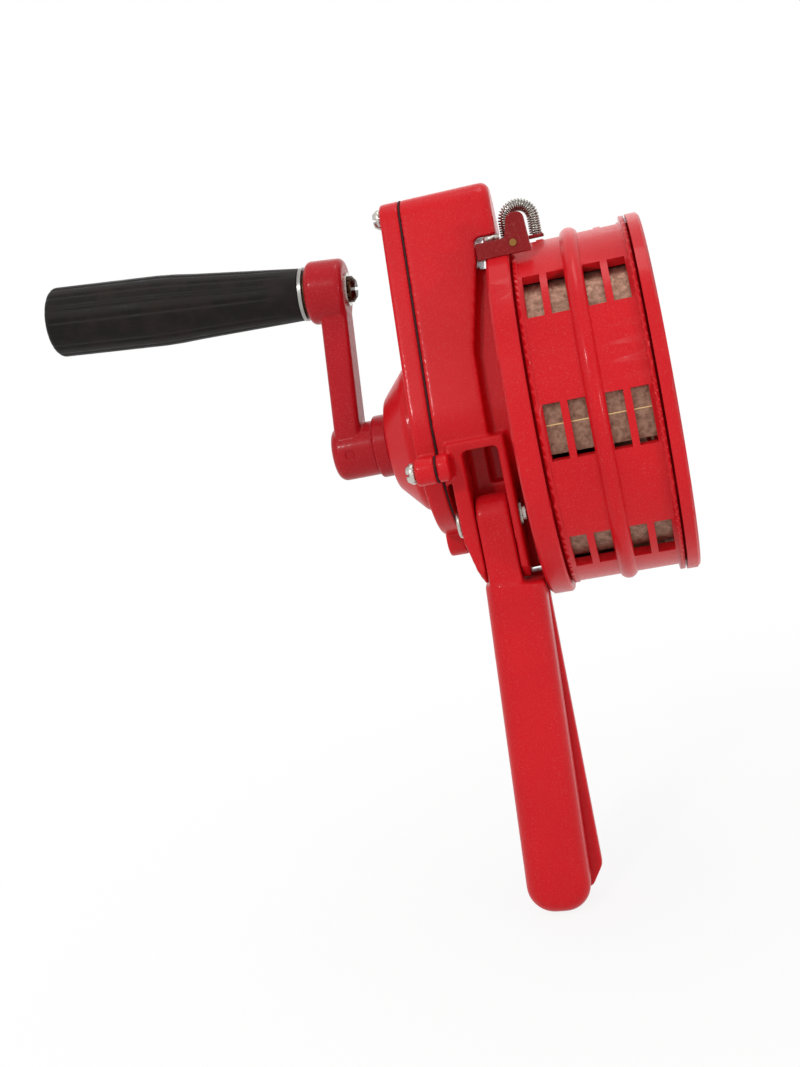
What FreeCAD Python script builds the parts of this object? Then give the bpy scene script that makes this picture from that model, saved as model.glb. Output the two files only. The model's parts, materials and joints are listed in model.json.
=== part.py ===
"""Hand crank siren, a parametric assembly in millimetres.

+X runs along the drum axis towards the open front, +Z is up and +Y points away from the grip's
opening side. The origin is the centre of the flat front face of the drum.
"""

import FreeCAD
import Part
import math
import os
import re

from FreeCAD import Placement, Rotation, Vector

# Driving dimensions

SIZES = {
    # stator drum
    "ring_width": 5.6, "ring_radius": 80.4, "ring_chamfer": 1.2, "ring_step": 2.8,
    "body_length": 51.2, "drum_wall": 4.0,
    "rib_width": 7.8, "rib_rise": 2.5, "lip_width": 2.0, "lip_rise": 2.5, "back_lip_rise": 0.6,
    "groove_width": 1.0, "groove_depth": 1.1,
    "port_width": 7.2, "port_angle": 17.3, "port_inner": 3.9, "port_bar": 3.0,
    # end plates
    "back_width": 9.9, "back_step": 1.2, "flat_cut": 8.6, "back_web": 6.2,
    "rim_wall": 8.0, "front_web": 4.0, "hub_radius": 17.0, "hub_length": 12.0,
    "window_inner": 26.0, "window_margin": 11.6, "window_angle": 31.0,
    "wall_screw_inset": 2.4, "wall_screw_radius": 1.0, "wall_screw_head": 2.1,
    "wall_head_height": 1.4,
    # rotor and its bearings
    "rotor_gap": 0.8, "rotor_wall": 3.2, "rotor_length": 46.0, "rotor_web": 4.0,
    "rotor_hub_radius": 13.0, "rotor_hub_length": 26.0, "rotor_slot_width": 17.8,
    "rotor_slot_inner": 3.7, "rotor_slot_angle": 17.3, "rotor_turned": 16.15,
    "vane_length": 36.0, "vane_thickness": 3.0,
    "rotor_shaft_radius": 4.0, "bearing_radius": 11.0, "bearing_width": 7.0,
    # gearbox
    "drum_gap": 12.1, "housing_depth": 23.3, "housing_wall": 3.1, "back_wall": 4.0,
    "lower_lobe": 46.0, "crown_radius": 12.0, "crown_z": 95.5, "crown_round": 4.0,
    "swell": 7.4, "swell_low": 36.0, "swell_top": 75.0,
    "extension": 17.0, "gasket_thickness": 0.6,
    "cover_depth": 8.9, "cover_web": 3.4, "cover_round": 1.0,
    "dome_rise": 16.2, "dome_radius": 34.0, "dome_base": 4.5, "dome_top_radius": 21.0,
    "dome_round": 3.5, "boss_radius": 6.0, "boss_depth": 5.7,
    "low_screw_y": 54.0, "low_screw_z": -8.8, "top_screw_inset": 6.4,
    "foot_radius": 8.5, "foot_drop": 11.5, "neck_inset": 8.0, "neck_screw_circle": 19.0,
    "spigot_radius": 13.7,
    "cover_screw_radius": 2.5, "cover_screw_head": 4.6, "cover_head_height": 4.0,
    # gear train
    "gear_module": 1.0, "crank_teeth": 60, "counter_pinion_teeth": 18, "counter_teeth": 54,
    "backlash": 0.16, "crank_gear_width": 4.4, "counter_gear_width": 6.0,
    "rotor_pinion_width": 8.0, "gear_setback": 9.0,
    "crank_shaft_radius": 5.0, "counter_shaft_radius": 4.0, "bush_wall": 2.0,
    "bush_skin": 1.0,
    "fit_gap": 0.04, "seat_gap": 0.02, "free_gap": 0.3,
    # crank
    "collar_radius": 14.6, "collar_length": 7.2, "collar_round": 1.2,
    "boss_end_radius": 12.8, "boss_length": 20.4, "boss_share": 0.61, "boss_round": 4.0,
    "arm_thickness": 12.4, "arm_width": 21.0,
    "arm_top_width": 18.5, "crank_radius": 75.0, "crank_lean": 5.5,
    "top_boss_radius": 14.5, "top_boss_length": 18.0, "top_boss_shift": 2.6, "arm_round": 3.0,
    # crank handle
    "handle_length": 121.0, "handle_inner_radius": 12.0, "handle_mid_radius": 15.2,
    "handle_radius": 16.4, "handle_taper": 50.0, "handle_swell": 20.0, "handle_round": 3.0,
    "handle_bolt_radius": 4.0, "handle_sleeve_wall": 1.5, "handle_head_radius": 6.0,
    "handle_head_height": 3.4, "ferrule_width": 1.6, "handle_washer": 1.2, "nut_recess": 8.0,
    # folding grip and its yoke
    "hinge_y": -38.0, "hinge_z": -36.5, "hinge_radius": 4.0, "hinge_head_radius": 6.4,
    "hinge_head_height": 2.2, "knuckle_radius": 10.8, "pocket_width": 15.3,
    "pocket_reach": 2.8, "pocket_top": -4.0, "left_cheek": 6.9, "right_cheek": 3.6,
    "cheek_bottom": -64.0, "cheek_front": 10.4,
    "yoke_back": -26.0, "yoke_wall": 5.0, "yoke_roof": 4.0, "tang_gap": 0.3,
    "grip_length": 156.5, "grip_width": 26.4, "grip_flare": 3.4, "grip_front": 18.0,
    "grip_back": 9.0,
    "grip_proud": 12.0, "grip_slot": 3.0, "grip_slot_depth": 9.0, "grip_cant": 3.6,
    "grip_round": 8.0, "grip_end_round": 12.5, "grip_far_round": 3.5,
    # carrying loop and its bracket
    "bracket_height": 7.2, "bracket_half": 36.5, "bracket_overhang": 3.2, "ear_thickness": 4.0,
    "ear_height": 17.0, "ear_width": 12.0, "ear_top_width": 7.0, "ear_round": 3.0,
    "ear_tilt": 1.5, "rivet_radius": 1.0, "rivet_head": 1.5,
    "tongue_half": 4.0, "tongue_thickness": 1.6,
    "loop_radius": 6.4, "loop_leg": 8.0, "loop_setback": 5.3, "loop_core_radius": 1.6,
    "loop_seat_depth": 1.0, "coil_radius": 2.45, "wire_radius": 0.42, "coil_turns": 17,
    "bracket_screw_y": 21.0, "bracket_screw_radius": 1.8, "bracket_screw_head": 3.6,
    "bracket_head_height": 2.6, "bracket_clear": 0.6,
}

PORT_ROWS = 8
WALL_SCREWS = 4
SPOKE_WINDOWS = 8

# Places worked out from the driving dimensions, each along X unless its name says otherwise

PLACES = {
    "body_radius": "ring_radius - ring_step",
    "bore_radius": "body_radius - drum_wall",
    "rotor_radius": "bore_radius - rotor_gap",
    "back_radius": "ring_radius + back_step",
    "back_flat": "back_radius - flat_cut",
    "wall_screw_circle": "body_radius - wall_screw_inset",
    "window_outer": "body_radius - window_margin",
    "top_screw_z": "crown_z + crown_radius - top_screw_inset",
    "foot_z": "foot_radius - lower_lobe - foot_drop",
    "neck_top": "back_flat - housing_wall",
    "bracket_top": "back_flat + bracket_height",
    "extension_height": "bracket_top + bracket_head_height + bracket_clear",
    "body_front": "-ring_width",
    "body_back": "body_front - body_length",
    "rib_x": "body_front - body_length / 2",
    "drum_back": "body_back - back_width",
    "housing_back": "drum_back - drum_gap",
    "housing_face": "housing_back - housing_depth",
    "cover_joint": "housing_face - gasket_thickness",
    "cover_face": "cover_joint - cover_depth",
    "dome_face": "cover_face - dome_rise",
    "collar_back": "dome_face - fit_gap * 10",
    "collar_face": "collar_back - collar_length",
    "boss_face": "collar_face - boss_length",
    "counter_z": "gear_module * (crank_teeth + counter_pinion_teeth) / 2",
    "rotor_pinion_teeth": "crank_teeth + counter_pinion_teeth - counter_teeth",
    "gear_plane": "cover_joint - gear_clear - crank_gear_width",
    "gear_clear": "gasket_thickness",
    "second_plane": "housing_face + gear_setback",
    "cavity_depth": "housing_depth - back_wall",
    "arm_x": "collar_face - boss_length * boss_share",
    "sleeve_radius": "handle_bolt_radius + handle_sleeve_wall",
    "boss_outer": "top_boss_length / 2 - top_boss_shift",
    "handle_start": "-top_boss_length / 2 - top_boss_shift - handle_washer",
    "handle_end": "handle_start - ferrule_width - handle_length",
    "pocket_left": "housing_back - pocket_width + pocket_reach",
    "pocket_right": "pocket_left + pocket_width",
    "cheek_left": "pocket_left - left_cheek",
    "cheek_right": "pocket_right + right_cheek",
    "grip_top_z": "cheek_bottom - 1",
    "grip_mid_x": "drum_back - 1.5 * free_gap - grip_width / 2",
    "grip_near_y": "hinge_y - grip_proud",
    "bracket_left": "drum_back - bracket_overhang",
    "bracket_right": "body_back - free_gap",
    "ear_x": "body_back + ear_thickness",
    "rivet_x": "ear_x - rivet_radius",
    "rivet_z": "bracket_top - rivet_head - rivet_radius",
    "loop_x": "body_back + loop_setback",
    "tongue_reach": "loop_x + loop_radius + coil_radius + rivet_radius - bracket_right",
    "bracket_screw_x": "drum_back + back_web / 2",
}

doc = FreeCAD.newDocument("hand_siren")


def fill_sheet(name, cells):
    """Put every value in its own cell, under its own alias."""
    table = doc.addObject("Spreadsheet::Sheet", name)
    for row, (alias, content) in enumerate(cells.items(), start=1):
        cell = "B%d" % row
        table.set("A%d" % row, alias.replace("_", " "))
        table.set(cell, content)
        table.setAlias(cell, alias)
    return table


def qualified(text):
    """Write plain size names as the expression engine wants them."""
    def full_name(match):
        word = match.group(0)
        if word in SIZES:
            return "sizes." + word
        if word in PLACES:
            return "places." + word
        return word
    return re.sub(r"[a-z][a-z_0-9]*", full_name, text)


sizes = fill_sheet("sizes", {alias: str(number) for alias, number in SIZES.items()})
places = fill_sheet("places", {alias: "=" + qualified(text) for alias, text in PLACES.items()})
doc.recompute()


def value(name):
    """Read one size or place back from the sheets."""
    return float(getattr(sizes if name in SIZES else places, name))


# Shapes bound to the sheets

FACING = {"X": Rotation(Vector(0, 1, 0), 90), "Y": Rotation(Vector(1, 0, 0), -90), "Z": Rotation()}


def bind(thing, **texts):
    """Bind properties of a document object to expressions."""
    for prop, text in texts.items():
        thing.setExpression(prop, qualified(text))
    return thing


def place(thing, spot, turn=Rotation()):
    """Put an object at a spot given by three expressions."""
    thing.Placement = Placement(Vector(), turn)
    for axis, text in zip("xyz", spot):
        thing.setExpression(".Placement.Base." + axis, qualified(text))
    return thing


def cylinder(name, radius, length, spot, facing="X"):
    thing = doc.addObject("Part::Cylinder", name)
    bind(thing, Radius=radius, Height=length)
    return place(thing, spot, FACING[facing])


def cone(name, radius, end_radius, length, spot, facing="X"):
    thing = doc.addObject("Part::Cone", name)
    bind(thing, Radius1=radius, Radius2=end_radius, Height=length)
    return place(thing, spot, FACING[facing])


def box(name, sides, spot):
    thing = doc.addObject("Part::Box", name)
    bind(thing, Length=sides[0], Width=sides[1], Height=sides[2])
    return place(thing, spot)


def sector(name, radius, length, spot, angle, turned):
    """Wedge about the X axis whose middle stands `turned` degrees up from -Y."""
    thing = cylinder(name, radius, length, spot)
    bind(thing, Angle=angle)
    turn = Rotation(Vector(1, 0, 0), turned - value(angle) / 2) * FACING["X"]
    thing.Placement = Placement(thing.Placement.Base, turn)
    return thing


def fuse(name, *things):
    thing = doc.addObject("Part::MultiFuse", name)
    thing.Shapes = list(things)
    thing.Refine = True
    return thing


def group(name, *things):
    thing = doc.addObject("Part::Compound", name)
    thing.Links = list(things)
    return thing


def cut(name, base, *tools):
    """Take one or more tools away from a base."""
    thing = doc.addObject("Part::Cut", name)
    thing.Base = base
    thing.Tool = tools[0] if len(tools) == 1 else fuse(name + "_tools", *tools)
    return thing


def common(name, first, second):
    thing = doc.addObject("Part::Common", name)
    thing.Base = first
    thing.Tool = second
    return thing


def ring(name, outer, inner, length, spot, facing="X"):
    """Cylinder with a bore."""
    return cut(name, cylinder(name + "_outer", outer, length, spot, facing),
               cylinder(name + "_inner", inner, length, spot, facing))


def rounded(name, base, radius, wanted):
    """Round the edges of a base that the test `wanted` picks."""
    doc.recompute()
    numbers = [n for n, edge in enumerate(base.Shape.Edges, start=1) if wanted(edge)]
    if not numbers:
        raise ValueError("no edge to round on " + name)
    thing = doc.addObject("Part::Fillet", name)
    thing.Base = base
    thing.Edges = [(n, value(radius), value(radius)) for n in numbers]
    return thing


def spans(edge, axis, low, high):
    """True where an edge runs exactly from low to high along an axis."""
    box_of_edge = edge.BoundBox
    start = getattr(box_of_edge, axis + "Min")
    end = getattr(box_of_edge, axis + "Max")
    return abs(start - low) < 0.01 and abs(end - high) < 0.01


def flat_at(axis, level):
    """Test for edges that lie in one plane square to an axis."""
    return lambda edge: spans(edge, axis, level, level)


def profile(name, plane, corners, length, spot):
    """Pad of a polygon whose corners are pairs of expressions, in its own body.

    On plane "XZ" the corners are (x, z) and the pad runs to +Y; on "YZ" they are (y, z) and the
    pad runs to +X. `spot` places the body.
    """
    body = doc.addObject("PartDesign::Body", name + "_body")
    sketch = body.newObject("Sketcher::SketchObject", name + "_sketch")
    role = plane + "_Plane"
    origin_plane = [f for f in body.Origin.OriginFeatures if f.Role == role][0]
    sketch.AttachmentSupport = [(origin_plane, "")]
    sketch.MapMode = "FlatFace"
    texts = [(qualified(u), qualified(v)) for u, v in corners]
    places_now = [Vector(worked_out(u), worked_out(v), 0) for u, v in corners]
    count = len(corners)
    for here, there in zip(places_now, places_now[1:] + places_now[:1]):
        sketch.addGeometry(Part.LineSegment(here, there), False)
    for line in range(count):
        sketch.addConstraint(join(line, 2, (line + 1) % count, 1))
    for line, (u, v) in enumerate(texts):
        across = sketch.addConstraint(datum("DistanceX", line, places_now[line].x))
        up = sketch.addConstraint(datum("DistanceY", line, places_now[line].y))
        sketch.setExpression("Constraints[%d]" % across, u)
        sketch.setExpression("Constraints[%d]" % up, v)
    pad = body.newObject("PartDesign::Pad", name + "_pad")
    pad.Profile = sketch
    bind(pad, Length=length)
    pad.Reversed = plane == "XZ"
    body.Tip = pad
    return place(body, spot)


def join(line, end, other, other_end):
    import Sketcher
    return Sketcher.Constraint("Coincident", line, end, other, other_end)


def datum(kind, line, number):
    import Sketcher
    return Sketcher.Constraint(kind, -1, 1, line, 1, number)


def worked_out(text):
    """Number that an expression gives now."""
    return float(sizes.evalExpression(qualified(text)))


PIECES = []


def piece(label, thing):
    """Name a finished sub-part; its name is also its file's name."""
    thing.Label = label
    PIECES.append(thing)
    return thing


# Pear outline of the gearbox

def pear(name, start, length, inset):
    """Wide low circle and small crown joined by straight flanks, drawn in by `inset`."""
    low = "(lower_lobe - (%s))" % inset
    high = "(crown_radius - (%s))" % inset
    rise = "((lower_lobe - crown_radius) / crown_z)"
    run = "sqrt(1 - %s ^ 2)" % rise
    low_y = "%s * %s" % (low, run)
    high_y = "%s * %s" % (high, run)
    low_z = "%s * %s" % (low, rise)
    high_z = "crown_z + %s * %s" % (high, rise)
    flanks = profile(name + "_flanks", "YZ", (("-%s" % low_y, low_z), (low_y, low_z),
                                              (high_y, high_z), ("-%s" % high_y, high_z)),
                     length, (start, "0", "0"))
    return fuse(name, flanks,
                cylinder(name + "_low", low, length, (start, "0", "0")),
                cylinder(name + "_high", high, length, (start, "0", "crown_z")))


# Stator drum

def make_stator_drum():
    tube = "((rib_rise ^ 2 + (rib_width / 2) ^ 2) / (2 * rib_rise))"
    rib = doc.addObject("Part::Torus", "rib")
    bind(rib, Radius1="body_radius + rib_rise - " + tube, Radius2=tube)
    place(rib, ("rib_x", "0", "0"), FACING["X"])
    lip = cylinder("lip", "body_radius + lip_rise", "lip_width",
                   ("body_front - groove_width - lip_width", "0", "0"))
    back_lip = cylinder("drum_back_lip", "body_radius + back_lip_rise", "lip_width",
                        ("body_back + groove_width", "0", "0"))
    outside = fuse("drum_outside",
                   cylinder("drum_body", "body_radius", "body_length", ("body_back", "0", "0")),
                   rib, lip, back_lip)
    grooves = [
        ring("front_groove", "ring_radius", "body_radius - groove_depth", "groove_width",
             ("body_front - groove_width", "0", "0")),
        ring("back_groove", "ring_radius", "body_radius - groove_depth", "groove_width",
             ("body_back", "0", "0"))]
    bore = cylinder("drum_bore", "bore_radius", "body_length", ("body_back", "0", "0"))
    rows = group("port_rows", *[
        sector("port_row_%d" % row, "ring_radius + 4", "body_length", ("body_back", "0", "0"),
               "port_angle", 360 / PORT_ROWS * row) for row in range(PORT_ROWS)])
    offsets = ("port_inner", "port_inner + port_width + port_bar",
               "-port_inner - port_width", "-port_inner - 2 * port_width - port_bar")
    columns = group("port_columns", *[
        ring("port_column_%d" % n, "ring_radius + 5", "bore_radius - 3", "port_width",
             ("rib_x + " + offset, "0", "0")) for n, offset in enumerate(offsets)])
    ports = common("ports", rows, columns)
    blank = cut("drum_blank", outside, *(grooves + [bore] + wall_screw_holes(
        "drum", "wall_screw_radius", "body_front - 9", "9") + wall_screw_holes(
        "drum_back", "wall_screw_radius", "body_back", "9")))
    return piece("stator_drum", cut("stator_drum", blank, ports))


def around(circle, angle):
    """Y and Z expressions of a point on a circle about the X axis."""
    return ("(%s) * %.9f" % (circle, math.cos(math.radians(angle))),
            "(%s) * %.9f" % (circle, math.sin(math.radians(angle))))


def wall_screw_angles():
    return [22.5 + 360 / WALL_SCREWS * n for n in range(WALL_SCREWS)]


def wall_screw_holes(name, radius, start, length):
    return [cylinder("%s_hole_%d" % (name, n), radius, length,
                     (start,) + around("wall_screw_circle", angle))
            for n, angle in enumerate(wall_screw_angles())]


def wall_screws(name, head_start, shank_start, shank_length):
    """Four slotted screws that hold an end plate to the drum's wall."""
    screws = []
    for n, angle in enumerate(wall_screw_angles()):
        y, z = around("wall_screw_circle", angle)
        head = cylinder("%s_head_%d" % (name, n), "wall_screw_head", "wall_head_height",
                        (head_start, y, z))
        shank = cylinder("%s_shank_%d" % (name, n), "wall_screw_radius - seat_gap", shank_length,
                         (shank_start, y, z))
        screws.append(fuse("%s_%d" % (name, n), head, shank))
    return piece(name, group(name, *screws))


# End plates

def make_front_plate():
    rim = fuse("front_rim",
               cylinder("front_disc", "ring_radius", "ring_width - ring_chamfer",
                        ("body_front", "0", "0")),
               cone("front_edge", "ring_radius", "ring_radius - ring_chamfer", "ring_chamfer",
                    ("-ring_chamfer", "0", "0")),
               cylinder("front_hub", "hub_radius", "hub_length", ("-hub_length", "0", "0")))
    recess = ring("front_recess", "body_radius - rim_wall", "hub_radius",
                  "ring_width - front_web", ("body_front", "0", "0"))
    windows = [
        cut("window_%d" % n,
            sector("window_wedge_%d" % n, "window_outer", "ring_width", ("body_front", "0", "0"),
                   "window_angle", 360 / SPOKE_WINDOWS * (n + 0.5)),
            cylinder("window_core_%d" % n, "window_inner", "ring_width", ("body_front", "0", "0")))
        for n in range(SPOKE_WINDOWS)]
    seat = cylinder("front_bearing_seat", "bearing_radius + seat_gap", "bearing_width + 1",
                    ("-hub_length", "0", "0"))
    heads = [cylinder("front_head_seat_%d" % n, "wall_screw_head + free_gap", "1.6",
                      ("-1.6",) + around("wall_screw_circle", angle))
             for n, angle in enumerate(wall_screw_angles())]
    holes = wall_screw_holes("front_plate", "wall_screw_radius + fit_gap", "body_front",
                             "ring_width")
    plate = cut("front_plate", rim, *([recess, seat] + windows + heads + holes))
    piece("front_plate", plate)
    wall_screws("front_plate_screws", "-1.5", "body_front - 8", "8 + ring_width - 1.5")


def make_back_plate():
    edge = "ring_chamfer"
    rim = fuse("back_rim",
               cone("back_edge", "back_radius - " + edge, "back_radius", edge,
                    ("drum_back", "0", "0")),
               cylinder("back_disc", "back_radius", "back_width - 1.6 * " + edge,
                        ("drum_back + " + edge, "0", "0")),
               cone("back_lip", "back_radius", "back_radius - 0.6 * " + edge, "0.6 * " + edge,
                    ("body_back - 0.6 * " + edge, "0", "0")))
    recess = cylinder("back_recess", "body_radius - rim_wall", "back_width - back_web",
                      ("drum_back + back_web", "0", "0"))
    flat = box("back_flat_cut", ("back_width", "2 * back_radius", "back_radius"),
               ("drum_back", "-back_radius", "back_flat"))
    spigot = cylinder("back_spigot_hole", "spigot_radius + fit_gap", "back_web",
                      ("drum_back", "0", "0"))
    heads = [cylinder("back_head_seat_%d" % n, "wall_screw_head + free_gap", "1.6",
                      ("drum_back",) + around("wall_screw_circle", angle))
             for n, angle in enumerate(wall_screw_angles())]
    holes = wall_screw_holes("back_plate", "wall_screw_radius + fit_gap", "drum_back",
                             "back_width")
    neck_holes = [cylinder("back_neck_hole_%d" % n, "2.05", "back_web", ("drum_back",) + spot)
                  for n, spot in enumerate(neck_spots())]
    threads = [cylinder("bracket_thread_%d" % n, "bracket_screw_radius", "9",
                        ("bracket_screw_x", y, "back_flat - 9"), "Z")
               for n, y in enumerate(("-bracket_screw_y", "bracket_screw_y"))]
    plate = cut("back_plate", rim,
                *([recess, flat, spigot] + heads + holes + neck_holes + threads))
    piece("back_plate", plate)
    wall_screws("back_plate_screws", "drum_back + 0.1", "drum_back + 0.1", "back_width + 7.9")


def neck_spots():
    return [around("neck_screw_circle", 45 + 90 * n) for n in range(4)]


def make_neck_screws():
    screws = []
    for n, (y, z) in enumerate(neck_spots()):
        head = cylinder("neck_head_%d" % n, "3.4", "3", ("drum_back + back_web", y, z))
        shank = cylinder("neck_shank_%d" % n, "2", "back_web + 7.5", ("drum_back - 7.5", y, z))
        screws.append(fuse("neck_screw_%d" % n, head, shank))
    piece("neck_screws", group("neck_screws", *screws))


# Rotor

def make_rotor():
    start = "rib_x - rotor_length / 2"
    rim = ring("rotor_rim", "rotor_radius", "rotor_radius - rotor_wall", "rotor_length",
               (start, "0", "0"))
    web = cylinder("rotor_disc", "rotor_radius - 1", "rotor_web",
                   ("rib_x - rotor_web / 2", "0", "0"))
    hub = cylinder("rotor_hub", "rotor_hub_radius", "rotor_hub_length",
                   ("rib_x - rotor_hub_length / 2", "0", "0"))
    vanes = []
    for n in range(PORT_ROWS):
        turned = value("rotor_turned") + 360 / PORT_ROWS * (n + 0.5)
        vane = box("vane_%d" % n,
                   ("vane_length", "rotor_radius - rotor_hub_radius - rotor_wall + 1",
                    "vane_thickness"),
                   ("rib_x - vane_length / 2", "0", "0"))
        turn = Rotation(Vector(1, 0, 0), turned)
        reach = turn.multVec(Vector(0, value("rotor_hub_radius") - 1, -value("vane_thickness") / 2))
        vane.setExpression(".Placement.Base.x", qualified("rib_x - vane_length / 2"))
        vane.setExpression(".Placement.Base.y", None)
        vane.setExpression(".Placement.Base.z", None)
        vane.Placement = Placement(reach, turn)
        vanes.append(vane)
    wedges = group("rotor_wedges", *[
        sector("rotor_wedge_%d" % n, "rotor_radius + 2", "rotor_length", (start, "0", "0"),
               "rotor_slot_angle", value("rotor_turned") + 360 / PORT_ROWS * n)
        for n in range(PORT_ROWS)])
    bands = group("rotor_bands", *[
        ring("rotor_band_%d" % n, "rotor_radius + 3", "rotor_radius - rotor_wall - 0.5",
             "rotor_slot_width", ("rib_x + " + offset, "0", "0"))
        for n, offset in enumerate(("rotor_slot_inner", "-rotor_slot_inner - rotor_slot_width"))])
    slots = common("rotor_slots", wedges, bands)
    bore = cylinder("rotor_bore", "rotor_shaft_radius + seat_gap", "rotor_hub_length",
                    ("rib_x - rotor_hub_length / 2", "0", "0"))
    keyway = box("rotor_keyway", ("rotor_hub_length", "2.04", "1.62"),
                 ("rib_x - rotor_hub_length / 2", "-1.02", "rotor_shaft_radius - 0.2"))
    solid = fuse("rotor_solid", rim, web, hub, *vanes)
    piece("rotor", cut("rotor", cut("rotor_blank", solid, bore, keyway), slots))


def make_rotor_shaft():
    shaft_start = "second_plane - 1"
    shaft_end = "-hub_length + bearing_width"
    blank = cylinder("rotor_shaft_round", "rotor_shaft_radius",
                     "(%s) - (%s)" % (shaft_end, shaft_start), (shaft_start, "0", "0"))
    hub_back = "rib_x - rotor_hub_length / 2"
    seat = box("rotor_key_seat", ("12", "2", "3"), (hub_back + " + 4", "-1",
                                                    "rotor_shaft_radius - 1.4"))
    piece("rotor_shaft", cut("rotor_shaft", blank, seat))
    piece("rotor_key", box("rotor_key", ("12", "2 - seat_gap", "2.6"),
                           (hub_back + " + 4", "-1 + seat_gap / 2", "rotor_shaft_radius - 1.4")))
    nut_start = "rib_x + rotor_hub_length / 2"
    nut = doc.addObject("Part::Prism", "rotor_nut_hex")
    nut.Polygon = 6
    bind(nut, Circumradius="rotor_shaft_radius + 4", Height="5")
    place(nut, (nut_start, "0", "0"), FACING["X"])
    piece("rotor_nut", cut("rotor_nut", nut, cylinder(
        "rotor_nut_bore", "rotor_shaft_radius + seat_gap", "5", (nut_start, "0", "0"))))
    sleeve_start = "drum_back + back_web"
    piece("rotor_spacer", ring("rotor_spacer", "rotor_shaft_radius + 2.5",
                               "rotor_shaft_radius + seat_gap",
                               "(%s) - (%s)" % (hub_back, sleeve_start),
                               (sleeve_start, "0", "0")))


def bearing(name, start):
    """Ball bearing as one solid ring with a groove between its races on both faces."""
    spot = (start, "0", "0")
    body = ring(name + "_body", "bearing_radius", "rotor_shaft_radius + fit_gap",
                "bearing_width", spot)
    middle = "(bearing_radius + rotor_shaft_radius) / 2"
    groove = ring(name + "_groove", middle + " + 1.2", middle + " - 1.2", "0.8", spot)
    far_groove = ring(name + "_far_groove", middle + " + 1.2", middle + " - 1.2", "0.8",
                      (start + " + bearing_width - 0.8", "0", "0"))
    return piece(name, cut(name, body, groove, far_groove))


# Gearbox housing, with the yoke that carries the folding grip

def make_housing():
    low = "-2 * lower_lobe"
    high = "crown_z + 2 * crown_radius"
    side = profile("housing_side", "XZ", (("housing_face", low), ("housing_back", low),
                                          ("housing_back", "swell_low"),
                                          ("housing_back + swell", "swell_top"),
                                          ("housing_back + swell", "extension_height"),
                                          ("housing_back + extension", "extension_height"),
                                          ("housing_back + extension", high),
                                          ("housing_face", high)),
                   "4 * lower_lobe", ("0", "-2 * lower_lobe", "0"))
    outer = common("housing_outer", side, pear("housing_pear", "housing_face",
                                               "housing_depth + extension", "0"))
    end = value("housing_back") + value("extension")
    top_round = rounded("housing_top_round", outer, "crown_round",
                        lambda e: spans(e, "X", end, end)
                        and e.BoundBox.ZMax > value("extension_height") + 1)
    near_boss = cylinder("housing_near_boss", "boss_radius", "boss_depth",
                         ("housing_face", "-low_screw_y", "low_screw_z"))
    far_boss = cylinder("housing_far_boss", "boss_radius", "boss_depth",
                        ("housing_face", "low_screw_y", "low_screw_z"))
    top_boss = cylinder("housing_top_boss", "boss_radius", "housing_depth",
                        ("housing_face", "0", "top_screw_z"))
    foot = cylinder("housing_foot", "foot_radius", "housing_depth",
                    ("housing_face", "0", "foot_z"))
    neck = common("housing_neck",
                  pear("neck_pear", "housing_back - 1", "drum_gap + 1", "neck_inset"),
                  box("neck_room", ("drum_gap + 1", "2 * lower_lobe", "neck_top + lower_lobe"),
                      ("housing_back - 1", "-lower_lobe", "-lower_lobe")))
    spigot = cylinder("housing_spigot", "spigot_radius", "back_web + 1",
                      ("drum_back - 1", "0", "0"))
    web_bosses = [box("near_link", ("boss_depth", "14", "10"),
                      ("housing_face", "-low_screw_y", "low_screw_z - 5")),
                  box("far_link", ("boss_depth", "14", "10"),
                      ("housing_face", "low_screw_y - 14", "low_screw_z - 5"))]
    cheek_shape = (("hinge_y - cheek_front", "pocket_top + yoke_roof"),
                   ("hinge_y - cheek_front", "hinge_z"),
                   ("hinge_y - cheek_front + 1", "cheek_bottom + 6"),
                   ("hinge_y - 4", "cheek_bottom"), ("yoke_back + yoke_wall", "cheek_bottom"),
                   ("yoke_back + yoke_wall", "pocket_top + yoke_roof"))
    left = profile("left_cheek", "YZ", cheek_shape, "left_cheek", ("cheek_left", "0", "0"))
    right = profile("right_cheek", "YZ", cheek_shape, "right_cheek", ("pocket_right", "0", "0"))
    back = box("yoke_back_wall", ("drum_back - cheek_left", "yoke_wall",
                                  "pocket_top - cheek_bottom"),
               ("cheek_left", "yoke_back", "cheek_bottom"))
    roof = box("yoke_top", ("cheek_right - cheek_left",
                            "yoke_back + yoke_wall - hinge_y + cheek_front", "yoke_roof"),
               ("cheek_left", "hinge_y - cheek_front", "pocket_top"))
    solid = fuse("housing_solid", top_round, near_boss, far_boss, top_boss, foot, neck,
                 spigot, left, right, back, roof, *web_bosses)
    pocket = box("yoke_pocket", ("pocket_width", "60", "90"),
                 ("pocket_left", "yoke_back - 60", "pocket_top - 90"))
    relief = box("pin_relief", ("cheek_left - housing_face - 1", "60", "60"),
                 ("housing_face + 1", "yoke_back - 60", "low_screw_z - boss_radius - 3 - 60"))
    flank = profile("cheek_flank", "XZ", (("cheek_left - 2", "hinge_z - hinge_head_radius - 1"),
                                          ("cheek_left", "hinge_z - hinge_head_radius - 1"),
                                          ("cheek_left + 5", "cheek_bottom - 1"),
                                          ("cheek_left - 2", "cheek_bottom - 1")),
                    "60", ("0", "yoke_back - 55", "0"))
    hollow = box("yoke_hollow", ("7.3", "4.5", "17"),
                 ("pocket_right - 7.3", "yoke_back - 0.5", "pocket_top - 19"))
    return solid, pocket, relief, flank, hollow


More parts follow.
